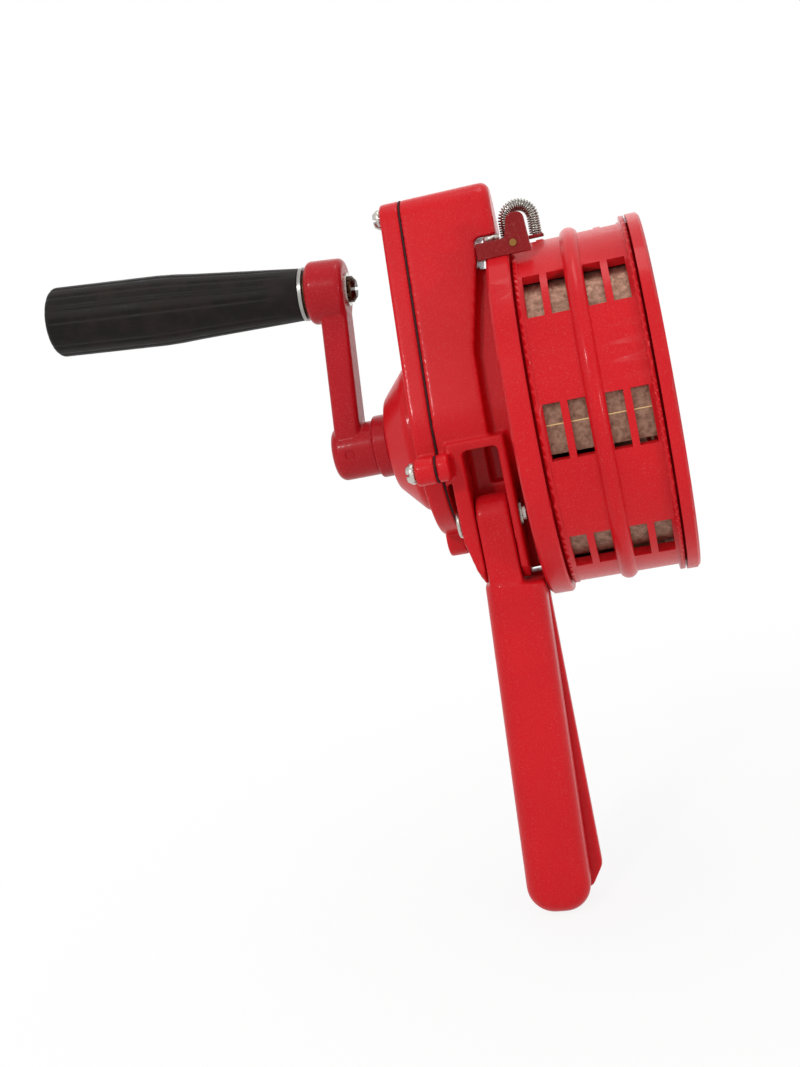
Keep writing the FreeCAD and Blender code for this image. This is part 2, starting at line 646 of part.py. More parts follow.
def make_gearbox():
    solid, pocket, relief, flank, hollow = make_housing()
    inside = pear("housing_cavity_pear", "housing_face", "cavity_depth", "housing_wall")
    keep_yoke = box("cavity_keep_yoke", ("cavity_depth", "60", "80"),
                    ("housing_face", "yoke_back + yoke_wall - 60 + 1",
                     "pocket_top + yoke_roof - 80"))
    keep_top = cylinder("cavity_keep_top", "boss_radius + 0.8", "gear_setback - 1.2",
                        ("housing_face", "0", "top_screw_z"))
    cavity = cut("housing_cavity", inside, keep_yoke, keep_top)
    top_cavity = common(
        "top_cavity",
        pear("top_cavity_pear", "housing_back - back_wall - 1", "extension", "housing_wall"),
        box("top_cavity_box", ("extension", "2 * lower_lobe", "lower_lobe"),
            ("housing_back - back_wall - 1", "-lower_lobe", "extension_height + housing_wall")))
    bearing_bore = cylinder("rear_bearing_seat", "bearing_radius + seat_gap", "bearing_width + 1",
                            ("drum_back + back_web - bearing_width - 1", "0", "0"))
    shaft_hole = cylinder("rotor_shaft_hole", "rotor_shaft_radius + 2", "drum_gap + back_wall + 9",
                          ("housing_back - back_wall - 1", "0", "0"))
    bush_hole = cylinder("rear_bush_hole", "counter_shaft_radius + bush_wall + seat_gap",
                         "back_wall", ("housing_back - back_wall", "0", "counter_z"))
    threads = [cylinder("cover_thread_%d" % n, "cover_screw_radius", "boss_depth - 0.7",
                        ("housing_face", y, z)) for n, (y, z) in enumerate(cover_screw_spots())]
    neck_threads = [cylinder("neck_thread_%d" % n, "2 + seat_gap", "8", ("drum_back - 8",) + spot)
                    for n, spot in enumerate(neck_spots())]
    pin_hole = cylinder("hinge_hole", "hinge_radius + fit_gap",
                        "cheek_right - cheek_left", ("cheek_left", "hinge_y", "hinge_z"))
    housing = cut("gearbox_housing", solid, pocket, relief, flank, hollow, cavity, top_cavity,
                  bearing_bore, shaft_hole, bush_hole, pin_hole, *(threads + neck_threads))
    piece("gearbox_housing", housing)
    bearing("rear_bearing", "drum_back + back_web - bearing_width - free_gap")
    bearing("front_bearing", "-hub_length")


def cover_screw_spots():
    return [("0", "top_screw_z"), ("-low_screw_y", "low_screw_z"), ("low_screw_y", "low_screw_z")]


def cover_outline(name, start, length):
    """The lobes with the screw bosses and the foot."""
    bosses = [cylinder("%s_boss_%d" % (name, n), "boss_radius", length, (start, y, z))
              for n, (y, z) in enumerate(cover_screw_spots())]
    links = [box("%s_link_near" % name, (length, "14", "10"),
                 (start, "-low_screw_y", "low_screw_z - 5")),
             box("%s_link_far" % name, (length, "14", "10"),
                 (start, "low_screw_y - 14", "low_screw_z - 5"))]
    foot = cylinder(name + "_foot", "foot_radius", length, (start, "0", "foot_z"))
    return fuse(name, pear(name + "_pear", start, length, "0"), foot, *(bosses + links))


def make_cover():
    plate = cover_outline("cover_plate", "cover_face", "cover_depth")
    face = value("cover_face")
    plate_round = rounded("cover_edge", plate, "cover_round", flat_at("X", face))
    dome = fuse("dome_blank",
                cylinder("dome_skirt", "dome_radius", "dome_base + 1",
                         ("cover_face - dome_base", "0", "0")),
                cone("dome_crown", "dome_top_radius", "dome_radius", "dome_rise - dome_base",
                     ("dome_face", "0", "0")))
    crown = rounded("dome_crown_round", dome, "dome_round",
                    lambda e: flat_at("X", value("dome_face"))(e)
                    or flat_at("X", face - value("dome_base"))(e))
    solid = fuse("cover_solid", plate_round, crown)
    hollow = pear("cover_hollow", "cover_face + cover_web", "cover_depth - cover_web",
                  "housing_wall")
    dome_hollow = cone("dome_hollow", "dome_top_radius - 8", "dome_radius - 6",
                       "dome_rise - 5", ("dome_face + 5 + cover_web", "0", "0"))
    bush_core = cylinder("cover_bush_core", "crank_shaft_radius + bush_wall + 4",
                         "dome_rise + cover_web", ("dome_face", "0", "0"))
    dome_space = cut("dome_space", dome_hollow, bush_core)
    holes = [cylinder("cover_screw_hole_%d" % n, "cover_screw_radius + fit_gap", "cover_depth",
                      ("cover_face", y, z)) for n, (y, z) in enumerate(cover_screw_spots())]
    bore = cylinder("cover_bore", "crank_shaft_radius + bush_wall + seat_gap",
                    "dome_rise + cover_web", ("dome_face", "0", "0"))
    bush_hole = cylinder("front_bush_hole", "counter_shaft_radius + bush_wall + seat_gap",
                         "cover_web - bush_skin", ("cover_face + bush_skin", "0", "counter_z"))
    piece("gearbox_cover", cut("gearbox_cover", solid, hollow, dome_space, bore, bush_hole,
                               *holes))
    gasket = cover_outline("gasket_plate", "cover_joint", "gasket_thickness")
    opening = pear("gasket_opening", "cover_joint", "gasket_thickness", "housing_wall")
    gasket_holes = [cylinder("gasket_hole_%d" % n, "cover_screw_radius + fit_gap",
                             "gasket_thickness", ("cover_joint", y, z))
                    for n, (y, z) in enumerate(cover_screw_spots())]
    piece("cover_gasket", cut("cover_gasket", gasket, opening, *gasket_holes))


def make_cover_screws():
    screws = []
    for n, (y, z) in enumerate(cover_screw_spots()):
        head = fuse("cover_screw_head_%d" % n,
                    cylinder("cover_head_rim_%d" % n, "cover_screw_head", "cover_head_height / 2",
                             ("cover_face - cover_head_height / 2", y, z)),
                    cone("cover_head_crown_%d" % n, "cover_screw_head - 1.4", "cover_screw_head",
                         "cover_head_height / 2", ("cover_face - cover_head_height", y, z)))
        slot = box("cover_screw_slot_%d" % n, ("1.4", "2 * cover_screw_head", "1.1"),
                   ("cover_face - cover_head_height", "(%s) - cover_screw_head" % y,
                    "(%s) - 0.55" % z))
        shank = cylinder("cover_shank_%d" % n, "cover_screw_radius - seat_gap",
                         "cover_depth + gasket_thickness + boss_depth - 1",
                         ("cover_face", y, z))
        screws.append(fuse("cover_screw_%d" % n, cut("cover_head_cut_%d" % n, head, slot), shank))
    piece("cover_screws", group("cover_screws", *screws))


def make_bushes():
    piece("crank_bush", ring("crank_bush", "crank_shaft_radius + bush_wall",
                             "crank_shaft_radius + fit_gap", "dome_rise + cover_web - 0.4",
                             ("dome_face + 0.2", "0", "0")))
    for name, start, length in (("counter_bush_front", "cover_face + bush_skin",
                                 "cover_web - bush_skin"),
                                ("counter_bush_rear", "housing_back - back_wall", "back_wall")):
        piece(name, ring(name, "counter_shaft_radius + bush_wall",
                         "counter_shaft_radius + fit_gap", length, (start, "0", "counter_z")))


# Gears

def involute_point(base, radius, start_angle, side):
    """Point of a tooth flank at a radius; side is +1 or -1."""
    pressure = math.acos(min(1.0, base / radius))
    angle = start_angle - side * (math.tan(pressure) - pressure)
    return Vector(0, radius * math.sin(angle), radius * math.cos(angle))


def gear_face(teeth, turned):
    """Flat toothed face about the origin; a tooth stands `turned` radians from +Z."""
    module = value("gear_module")
    pitch = module * teeth / 2
    base = pitch * math.cos(math.radians(20))
    tip = pitch + module
    root = pitch - 1.25 * module
    flank_start = max(base, root)
    pressure = math.radians(20)
    half = math.pi / (2 * teeth) - value("backlash") / (2 * pitch)
    half_at_base = half + math.tan(pressure) - pressure
    edges = []
    for tooth in range(teeth):
        middle = turned + 2 * math.pi * tooth / teeth
        rising = [involute_point(base, r, middle - half_at_base, -1)
                  for r in (flank_start, pitch, tip)]
        falling = [involute_point(base, r, middle + half_at_base, 1)
                   for r in (tip, pitch, flank_start)]
        next_start = middle + 2 * math.pi / teeth
        across = Vector(0, root * math.sin(middle + math.pi / teeth),
                        root * math.cos(middle + math.pi / teeth))
        foot = falling[-1] * (root / flank_start)
        next_foot = involute_point(base, flank_start, next_start - half_at_base, -1)
        if flank_start > root + 0.001:
            edges.append(Part.makeLine(rising[0] * (root / flank_start), rising[0]))
        edges.append(Part.Arc(*rising).toShape())
        edges.append(Part.Arc(rising[-1], Vector(0, tip * math.sin(middle),
                                                 tip * math.cos(middle)), falling[0]).toShape())
        edges.append(Part.Arc(*falling).toShape())
        if flank_start > root + 0.001:
            edges.append(Part.makeLine(falling[-1], foot))
        edges.append(Part.Arc(foot, across, next_foot * (root / flank_start)).toShape())
    return Part.Face(Part.Wire(edges))


def gear(name, teeth, turned, width, bore, start, z, holes=None):
    """Spur gear on an X-facing shaft, with optional lightening holes."""
    thick = Vector(value(width), 0, 0)
    solid = gear_face(teeth, turned).extrude(thick)
    solid = solid.cut(Part.makeCylinder(bore, thick.x, Vector(), Vector(1, 0, 0)))
    if holes:
        count, circle, radius = holes
        for n in range(count):
            angle = 2 * math.pi * n / count
            spot = Vector(0, circle * math.cos(angle), circle * math.sin(angle))
            solid = solid.cut(Part.makeCylinder(radius, thick.x, spot, Vector(1, 0, 0)))
    thing = doc.addObject("Part::Feature", name)
    thing.Shape = solid
    return place(thing, (start, "0", z))


def lightening(teeth):
    """Count, circle and radius of the holes in a large gear's web."""
    pitch = value("gear_module") * teeth / 2
    return 5, pitch * 0.6, pitch * 0.17


def make_gears():
    crank_teeth = int(value("crank_teeth"))
    pinion_teeth = int(value("counter_pinion_teeth"))
    counter_teeth = int(value("counter_teeth"))
    rotor_teeth = int(value("rotor_pinion_teeth"))
    seat = value("seat_gap")
    crank_bore = value("crank_shaft_radius") + seat
    counter_bore = value("counter_shaft_radius") + seat
    rotor_bore = value("rotor_shaft_radius") + seat
    width = "crank_gear_width"
    crank_gear = gear("crank_gear_blank", crank_teeth, 0, width, crank_bore, "gear_plane", "0",
                      lightening(crank_teeth))
    keyway = box("crank_keyway", ("crank_gear_width", "3.04", "1.9"),
                 ("gear_plane", "-1.52", "crank_shaft_radius - 0.3"))
    piece("crank_gear", cut("crank_gear", crank_gear, keyway))
    piece("crank_gear_key", box("crank_gear_key", ("crank_gear_width", "3", "2.9"),
                                ("gear_plane", "-1.5", "crank_shaft_radius - 1.4")))
    # a space of each pinion faces the gear tooth below or beside it
    pinion_turn = math.pi + math.pi / pinion_teeth
    piece("counter_pinion", gear("counter_pinion", pinion_teeth, pinion_turn, width,
                                 counter_bore, "gear_plane", "counter_z"))
    piece("counter_gear", gear("counter_gear", counter_teeth, math.pi, "counter_gear_width",
                               counter_bore, "second_plane + 1", "counter_z",
                               lightening(counter_teeth)))
    piece("rotor_pinion", gear("rotor_pinion", rotor_teeth, math.pi / rotor_teeth,
                               "rotor_pinion_width", rotor_bore, "second_plane", "0"))
    piece("counter_shaft", cylinder("counter_shaft", "counter_shaft_radius",
                                    "housing_back - cover_face - bush_skin - 2 * free_gap",
                                    ("cover_face + bush_skin + free_gap", "0", "counter_z")))


# Crank: shaft, collar and leaning arm

def make_crank_shaft():
    start = "boss_face + 2"
    end = "housing_face - 0.1"
    blank = cylinder("crank_shaft_round", "crank_shaft_radius", "(%s) - (%s)" % (end, start),
                     (start, "0", "0"))
    seat = box("crank_key_seat", ("crank_gear_width", "3", "3"),
               ("gear_plane", "-1.5", "crank_shaft_radius - 1.4"))
    pin = cylinder("crank_pin_hole", "2", "30", ("arm_x + 1", "-15", "0"), "Y")
    piece("crank_shaft", cut("crank_shaft", blank, seat, pin))
    piece("crank_gear_clip", ring("crank_gear_clip", "crank_shaft_radius + 2.6",
                                  "crank_shaft_radius + seat_gap",
                                  "gear_clear - 0.1 + gasket_thickness - 0.4",
                                  ("gear_plane + crank_gear_width", "0", "0")))
    collar = ring("crank_collar_blank", "collar_radius", "crank_shaft_radius + seat_gap",
                  "collar_length", ("collar_face", "0", "0"))
    piece("crank_collar", rounded("crank_collar", collar, "collar_round",
                                  lambda e: spans(e, "Y", -value("collar_radius"),
                                                  value("collar_radius"))))


def lean(thing):
    """Tip a part of the crank's upper end, drawn about the foot of the arm, by the lean."""
    turn = Rotation(Vector(0, 1, 0), value("crank_lean"))
    return place(thing, ("arm_x", "0", "0"), turn)


def make_crank_arm():
    half = "arm_thickness / 2"
    bar = profile("arm_bar", "YZ", (("-arm_width / 2", "0"), ("arm_width / 2", "0"),
                                    ("arm_top_width / 2", "crank_radius"),
                                    ("-arm_top_width / 2", "crank_radius")),
                  "arm_thickness", ("-" + half, "0", "0"))
    bar_round = rounded("arm_bar_round", bar, "arm_round",
                        lambda e: e.Length > value("crank_radius") * 0.9)
    top = cylinder("arm_top_boss", "top_boss_radius", "top_boss_length",
                   ("boss_outer - top_boss_length", "0", "crank_radius"))
    top_round = rounded("arm_top_round", top, "arm_round",
                        lambda e: spans(e, "Y", -value("top_boss_radius"),
                                        value("top_boss_radius")))
    upper = lean(fuse("arm_upper", bar_round, top_round))
    low = cylinder("arm_low_boss", "boss_end_radius", "boss_length", ("boss_face", "0", "0"))
    low_round = rounded("arm_low_round", low, "boss_round", flat_at("X", value("boss_face")))
    solid = fuse("arm_solid", upper, low_round)
    bolt_hole = lean_tool(cylinder("arm_bolt_hole", "handle_bolt_radius + seat_gap",
                                   "top_boss_length + 4",
                                   ("boss_outer - top_boss_length - 2", "0", "crank_radius")),
                          "arm_bolt")
    shaft_hole = cylinder("arm_shaft_hole", "crank_shaft_radius + seat_gap", "boss_length",
                          ("boss_face + 2", "0", "0"))
    pin_hole = cylinder("arm_pin_hole", "2", "30", ("arm_x + 1", "-15", "0"), "Y")
    piece("crank_arm", cut("crank_arm", solid, bolt_hole, shaft_hole, pin_hole))
    piece("crank_pin", cylinder("crank_pin", "2 - seat_gap", "2 * boss_end_radius - 1",
                                ("arm_x + 1", "0.5 - boss_end_radius", "0"), "Y"))


def lean_tool(thing, name):
    """Wrap one shape so that it can be tipped with the arm."""
    return lean(group(name + "_leaning", thing))


def leaning_piece(label, thing):
    return piece(label, lean_tool(thing, label))


def make_crank_handle():
    axis = ("0", "crank_radius")
    face = "boss_outer"
    bolt_end = "handle_end + 2.5"
    head = fuse("bolt_head", cylinder("bolt_head_rim", "handle_head_radius",
                                      "handle_head_height / 2", (face + " + 1",) + axis),
                cone("bolt_head_crown", "handle_head_radius", "handle_head_radius - 2",
                     "handle_head_height / 2", (face + " + 1 + handle_head_height / 2",) + axis))
    slot = box("bolt_slot", ("1.8", "2 * handle_head_radius", "1.4"),
               (face + " + handle_head_height - 0.8", "-handle_head_radius",
                "crank_radius - 0.7"))
    shank = cylinder("bolt_shank", "handle_bolt_radius", face + " + 1 - (%s)" % bolt_end,
                     (bolt_end,) + axis)
    leaning_piece("handle_bolt", fuse("bolt_solid", cut("bolt_head_slotted", head, slot), shank))
    leaning_piece("handle_washer", ring("handle_washer_ring", "handle_head_radius + 1.6",
                                        "handle_bolt_radius + seat_gap", "1", (face,) + axis))
    leaning_piece("handle_spacer", ring("handle_spacer_ring", "handle_inner_radius - 1.2",
                                        "handle_bolt_radius + seat_gap", "handle_washer - 0.1",
                                        ("handle_start + 0.1",) + axis))
    recess_floor = "handle_end + nut_recess"
    sleeve_length = "handle_start - (%s) - 0.2" % recess_floor
    leaning_piece("handle_sleeve", ring("handle_sleeve_tube", "sleeve_radius",
                                        "handle_bolt_radius + seat_gap", sleeve_length,
                                        (recess_floor,) + axis))
    ferrule_start = "handle_start - ferrule_width"
    leaning_piece("handle_ferrule", ring("handle_ferrule_ring", "handle_inner_radius + 0.3",
                                         "sleeve_radius + fit_gap", "ferrule_width",
                                         (ferrule_start,) + axis))
    swell_start = "handle_end + handle_length - handle_taper - handle_swell"
    blank = fuse("handle_blank",
                 cone("handle_neck", "handle_mid_radius", "handle_inner_radius", "handle_taper",
                      ("handle_end + handle_length - handle_taper",) + axis),
                 cone("handle_swell_cone", "handle_radius", "handle_mid_radius", "handle_swell",
                      (swell_start,) + axis),
                 cylinder("handle_barrel", "handle_radius",
                          "handle_length - handle_taper - handle_swell", ("handle_end",) + axis))
    blank_round = rounded("handle_round_end", blank, "handle_round",
                          flat_at("X", value("handle_end")))
    bore = cylinder("handle_bore", "sleeve_radius + fit_gap", "handle_length",
                    ("handle_end",) + axis)
    recess = cylinder("handle_recess", "handle_bolt_radius + 5", "nut_recess + free_gap",
                      ("handle_end",) + axis)
    leaning_piece("crank_handle", cut("handle_solid", blank_round, bore, recess))
    nut = doc.addObject("Part::Prism", "handle_nut_hex")
    nut.Polygon = 6
    bind(nut, Circumradius="handle_bolt_radius + 3.4", Height="4.5")
    place(nut, (recess_floor + " - 4.5",) + axis, FACING["X"])
    leaning_piece("handle_nut", cut("handle_nut_solid", nut, cylinder(
        "handle_nut_bore", "handle_bolt_radius + seat_gap", "4.5",
        (recess_floor + " - 4.5",) + axis)))


# Folding grip and its hinge

def make_grip():
    tang_left = "pocket_left + tang_gap"
    tang_width = "pocket_width - 2 * tang_gap"
    tang_back = "yoke_back - 0.4"
    knuckle = cylinder("knuckle", "knuckle_radius", tang_width,
                       (tang_left, "hinge_y", "hinge_z"))
    tang = box("tang", (tang_width, "(%s) - hinge_y + knuckle_radius - 0.1" % tang_back,
                        "hinge_z - grip_top_z + 8"),
               (tang_left, "hinge_y - knuckle_radius + 0.1", "grip_top_z - 8"))
    front = profile("grip_front_bar", "XZ", (("-grip_width / 2", "-grip_length"),
                                             ("grip_width / 2 + grip_flare", "-grip_length"),
                                             ("grip_width / 2", "0"), ("-grip_width / 2", "0")),
                    "grip_front", ("0", "0", "0"))
    front_end = rounded("grip_front_end", front, "grip_end_round",
                        lambda e: spans(e, "Z", -value("grip_length"), -value("grip_length"))
                        and e.BoundBox.XLength < 0.01)
    front_round = rounded("grip_front_round", front_end, "grip_round",
                          lambda e: flat_at("Y", 0)(e) and e.BoundBox.ZMin < -0.01)
    turn = Rotation(Vector(0, 1, 0), value("grip_cant"))
    canted = place(group("grip_canted", front_round), ("grip_mid_x", "grip_near_y", "grip_top_z"),
                   turn)
    sway = "grip_length * tan(grip_cant)"
    left = "grip_mid_x - grip_width / 2"
    right = "grip_mid_x + grip_width / 2"
    end = "grip_top_z - grip_length"
    spine = profile("grip_spine", "XZ",
                    ((left + " + 1", "grip_top_z - 0.8"),
                     (right + " - grip_slot_depth", "grip_top_z - 0.8"),
                     (right + " - grip_slot_depth - 0.5 * " + sway, end + " + 12"),
                     (right + " - grip_slot_depth - " + sway, end + " + 3"),
                     (left + " + 8 - " + sway, end + " + 3"),
                     (left + " + 1 - " + sway, end + " + 12")),
                    "grip_slot + 2", ("0", "grip_near_y + grip_front - 1", "0"))
    back = profile("grip_back_bar", "XZ",
                   ((left, "grip_top_z"), (right, "grip_top_z"),
                    (right + " - 0.2", end + " + 13"), (right + " - 6", end + " + 3.5"),
                    (right + " - 15", end), (left + " + 10 - " + sway, end + " + 1"),
                    (left + " - " + sway, end + " + 12")),
                   "grip_back", ("0", "grip_near_y + grip_front + grip_slot", "0"))
    back_round = rounded("grip_back_round", back, "grip_far_round",
                         flat_at("Y", value("grip_near_y") + value("grip_front")
                                 + value("grip_slot") + value("grip_back")))
    cap = profile("grip_cap", "XZ", ((left + " + 0.4", "grip_top_z"), (right, "grip_top_z"),
                                     (right, "grip_top_z - 9"), (left, "grip_top_z - 9")),
                  "grip_slot + 2", ("0", "grip_near_y + grip_front - 1", "0"))
    bore = cylinder("grip_bore", "hinge_radius + fit_gap", "pocket_width",
                    ("pocket_left", "hinge_y", "hinge_z"))
    solid = fuse("grip_solid", knuckle, tang, canted, spine, back_round, cap)
    piece("folding_grip", cut("folding_grip", solid, bore))


def make_hinge_pin():
    head_start = "cheek_left - hinge_head_height"
    pin_end = "cheek_right + 2.4"
    head = cylinder("hinge_head", "hinge_head_radius", "hinge_head_height",
                    (head_start, "hinge_y", "hinge_z"))
    head_round = rounded("hinge_head_round", head, "cover_round", flat_at(
        "X", value("cheek_left") - value("hinge_head_height")))
    shank = cylinder("hinge_shank", "hinge_radius", pin_end + " - cheek_left",
                     ("cheek_left", "hinge_y", "hinge_z"))
    piece("hinge_pin", fuse("hinge_pin", head_round, shank))
    piece("hinge_clip", ring("hinge_clip", "hinge_radius + 2.2", "hinge_radius + seat_gap", "1",
                             ("cheek_right", "hinge_y", "hinge_z")))


# Carrying bracket and its sprung loop

def make_bracket():
    base = box("bracket_base", ("bracket_right - bracket_left", "2 * bracket_half",
                                "bracket_height"),
               ("bracket_left", "-bracket_half", "back_flat"))
    tongue = box("bracket_tongue", ("tongue_reach + 1", "2 * tongue_half", "tongue_thickness"),
                 ("bracket_right - 1", "-tongue_half", "bracket_top - tongue_thickness"))
    half = "ear_width / 2"
    top_half = "ear_top_width / 2"
    ear = profile("ear", "XZ", (("ear_x - " + half, "back_flat"), ("ear_x + " + half, "back_flat"),
                                ("ear_x + %s + ear_tilt" % top_half, "back_flat + ear_height"),
                                ("ear_x - %s + ear_tilt" % top_half, "back_flat + ear_height")),
                  "ear_thickness", ("0", "-bracket_half", "0"))
    top = value("back_flat") + value("ear_height")
    ear_round = rounded("ear_top_round", ear, "ear_round",
                        lambda e: abs(e.Length - value("ear_thickness")) < 0.01
                        and e.BoundBox.ZMin > top - 0.01)
    threads = [cylinder("bracket_hole_%d" % n, "bracket_screw_radius + fit_gap",
                        "bracket_height", ("bracket_screw_x", y, "back_flat"), "Z")
               for n, y in enumerate(("-bracket_screw_y", "bracket_screw_y"))]
    seats = [cylinder("loop_seat_%d" % n, "loop_core_radius + seat_gap", "loop_seat_depth",
                      ("loop_x " + side + " loop_radius", "0", "bracket_top - loop_seat_depth"),
                      "Z")
             for n, side in enumerate("-+")]
    rivet_hole = cylinder("rivet_hole", "rivet_radius + seat_gap", "ear_thickness",
                          ("rivet_x", "-bracket_half", "rivet_z"), "Y")
    piece("carry_bracket", cut("carry_bracket", fuse("bracket_solid", base, tongue, ear_round),
                               rivet_hole, *(threads + seats)))
    rivet = fuse("ear_rivet",
                 cylinder("rivet_cap", "rivet_head", "0.9",
                          ("rivet_x", "-bracket_half - 0.9", "rivet_z"), "Y"),
                 cylinder("rivet_shank", "rivet_radius", "ear_thickness",
                          ("rivet_x", "-bracket_half", "rivet_z"), "Y"))
    piece("ear_rivet", rivet)
    screws = []
    for n, y in enumerate(("-bracket_screw_y", "bracket_screw_y")):
        head = cylinder("bracket_head_%d" % n, "bracket_screw_head", "bracket_head_height",
                        ("bracket_screw_x", y, "bracket_top"), "Z")
        head_round = rounded("bracket_head_round_%d" % n, head, "cover_round",
                             flat_at("Z", value("bracket_top") + value("bracket_head_height")))
        shank = cylinder("bracket_shank_%d" % n, "bracket_screw_radius - seat_gap",
                         "bracket_height + 8", ("bracket_screw_x", y, "back_flat - 8"), "Z")
        screws.append(fuse("bracket_screw_%d" % n, head_round, shank))
    piece("bracket_screws", group("bracket_screws", *screws))


def loop_frame(along):
    """Point and tangent of the loop's centre line, and its outward normal, at a length."""
    leg = value("loop_leg")
    radius = value("loop_radius")
    middle = Vector(value("loop_x"), 0, value("bracket_top") + leg)
    bend = math.pi * radius
    if along < leg:
        return middle + Vector(-radius, 0, along - leg), Vector(0, 0, 1), Vector(-1, 0, 0)
    if along > leg + bend:
        return (middle + Vector(radius, 0, leg + bend - along), Vector(0, 0, -1),
                Vector(1, 0, 0))
    angle = (along - leg) / radius
    out = Vector(-math.cos(angle), 0, math.sin(angle))
    return middle + out * radius, Vector(math.sin(angle), 0, math.cos(angle)), out


def loop_length():
    return 2 * value("loop_leg") + math.pi * value("loop_radius")


def coil_point(turn_share):
    """Point of the spring's wire, where the share runs from 0 to the number of turns."""
    end_room = 2 * value("wire_radius") + value("wire_radius") * 2.2
    usable = loop_length() - 2 * end_room
    along = end_room + usable * turn_share / value("coil_turns")
    centre, tangent, out = loop_frame(along)
    side = tangent.cross(out)
    angle = 2 * math.pi * turn_share
    radius = value("coil_radius")
    return centre + out * (radius * math.cos(angle)) + side * (radius * math.sin(angle))


def coil_tangent(turn_share):
    step = 0.0005
    return (coil_point(turn_share + step) - coil_point(turn_share - step)).normalize()


def arc_middle(start, tangent, end):
    """Middle of the arc from start to end that leaves along the tangent."""
    chord = end - start
    rise = tangent - chord * (tangent.dot(chord) / chord.dot(chord))
    height = chord.Length / 2 * math.tan(tangent.getAngle(chord) / 2)
    return (start + end) * 0.5 + rise.normalize() * height


def biarc(start, tangent, end, end_tangent):
    """Two arcs that meet smoothly between two points with given tangents."""
    chord = end - start
    square = 2 * (1 - tangent.dot(end_tangent))
    slope = 2 * chord.dot(tangent + end_tangent)
    rest = -chord.dot(chord)
    reach = (-slope + math.sqrt(slope * slope - 4 * square * rest)) / (2 * square)
    joint = (start + tangent * reach + end - end_tangent * reach) * 0.5
    return [Part.Arc(start, arc_middle(start, tangent, joint), joint).toShape(),
            Part.Arc(joint, arc_middle(end, end_tangent * -1, joint), end).toShape()]


def make_spring():
    """Close coils round the loop as one unbroken wire, with straight feet at both ends."""
    turns = int(value("coil_turns"))
    wire = value("wire_radius")
    quarters = turns * 4
    shares = [n / 4 for n in range(quarters + 1)]
    points = [coil_point(share) for share in shares]
    tangents = [coil_tangent(share) for share in shares]
    floor = value("bracket_top")
    edges = []
    bend = wire * 2.2
    first_foot = points[0] - tangents[0] * bend
    first_foot.z = floor + 2 * wire
    last_foot = points[-1] + tangents[-1] * bend
    last_foot.z = floor + 2 * wire
    up = Vector(0, 0, 1)
    edges.append(Part.makeLine(first_foot - up * (2 * wire), first_foot))
    edges.extend(biarc(first_foot, up, points[0], tangents[0]))
    for n in range(quarters):
        edges.extend(biarc(points[n], tangents[n], points[n + 1], tangents[n + 1]))
    edges.extend(biarc(points[-1], tangents[-1], last_foot, up * -1))
    edges.append(Part.makeLine(last_foot, last_foot - up * (2 * wire)))
    path = Part.Wire(edges)
    section = Part.Wire([Part.makeCircle(wire, first_foot - up * (2 * wire), up)])
    sweep = Part.BRepOffsetAPI.MakePipeShell(path)
    sweep.add(section)
    sweep.build()
    sweep.makeSolid()
    spring = doc.addObject("Part::Feature", "carry_spring")
    spring.Shape = sweep.shape()
    samples = 24
    trail = [coil_point(n / samples) for n in range(turns * samples + 1)]
    gap = min((trail[n] - trail[m]).Length for n in range(len(trail))
              for m in range(n + samples // 2, min(n + samples * 2, len(trail)))) - 2 * wire
    print("spring: %d turns, least gap to itself %.2f mm, volume ratio %.4f"
          % (turns, gap, spring.Shape.Volume / (math.pi * wire ** 2 * path.Length)))
    return piece("carry_spring", spring)


def make_loop_core():
    """Bent rod inside the spring, from one seat in the bracket to the other."""
    leg = value("loop_leg") + value("loop_seat_depth") - 0.1
    radius = value("loop_radius")
    middle = Vector(value("loop_x"), 0, value("bracket_top") + value("loop_leg"))
    near = middle - Vector(radius, 0, 0)
    far = middle + Vector(radius, 0, 0)
    path = Part.Wire([Part.makeLine(near - Vector(0, 0, leg), near),
                      Part.Arc(near, middle + Vector(0, 0, radius), far).toShape(),
                      Part.makeLine(far, far - Vector(0, 0, leg))])
    section = Part.Wire([Part.makeCircle(value("loop_core_radius"), near - Vector(0, 0, leg),
                                         Vector(0, 0, 1))])
    core = doc.addObject("Part::Feature", "carry_loop")
    core.Shape = path.makePipeShell([section], True, False)
    return piece("carry_loop", core)


# Build, check and write

make_stator_drum()
make_front_plate()
make_back_plate()
make_neck_screws()
make_rotor()
make_rotor_shaft()
make_gearbox()
make_cover()
make_cover_screws()
make_bushes()
make_gears()
make_crank_shaft()
make_crank_arm()
make_crank_handle()
make_grip()
make_hinge_pin()
make_bracket()
make_loop_core()
make_spring()

doc.recompute()

failed = [thing.Name for thing in doc.Objects
          if "Invalid" in thing.State or "Error" in thing.State]
if failed:
    raise RuntimeError("failed: " + ", ".join(failed))
for thing in PIECES:
    if thing.Shape.isNull() or not thing.Shape.isValid() or not thing.Shape.Solids:
        raise RuntimeError("bad shape: " + thing.Label)

os.makedirs("parts", exist_ok=True)
for thing in PIECES:
    thing.Shape.exportStep("parts/%s.step" % thing.Label)
    print("%-20s solids %2d  volume %9.1f" % (thing.Label, len(thing.Shape.Solids),
                                              thing.Shape.Volume))
print(len(PIECES), "pieces")
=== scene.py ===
"""Looks of the hand crank siren: its finishes, its softer pieces, the studio and the camera."""

import json
import logging
import math
from dataclasses import dataclass
from enum import Enum
from typing import Any, Sequence

import bpy
from mathutils import Matrix, Vector

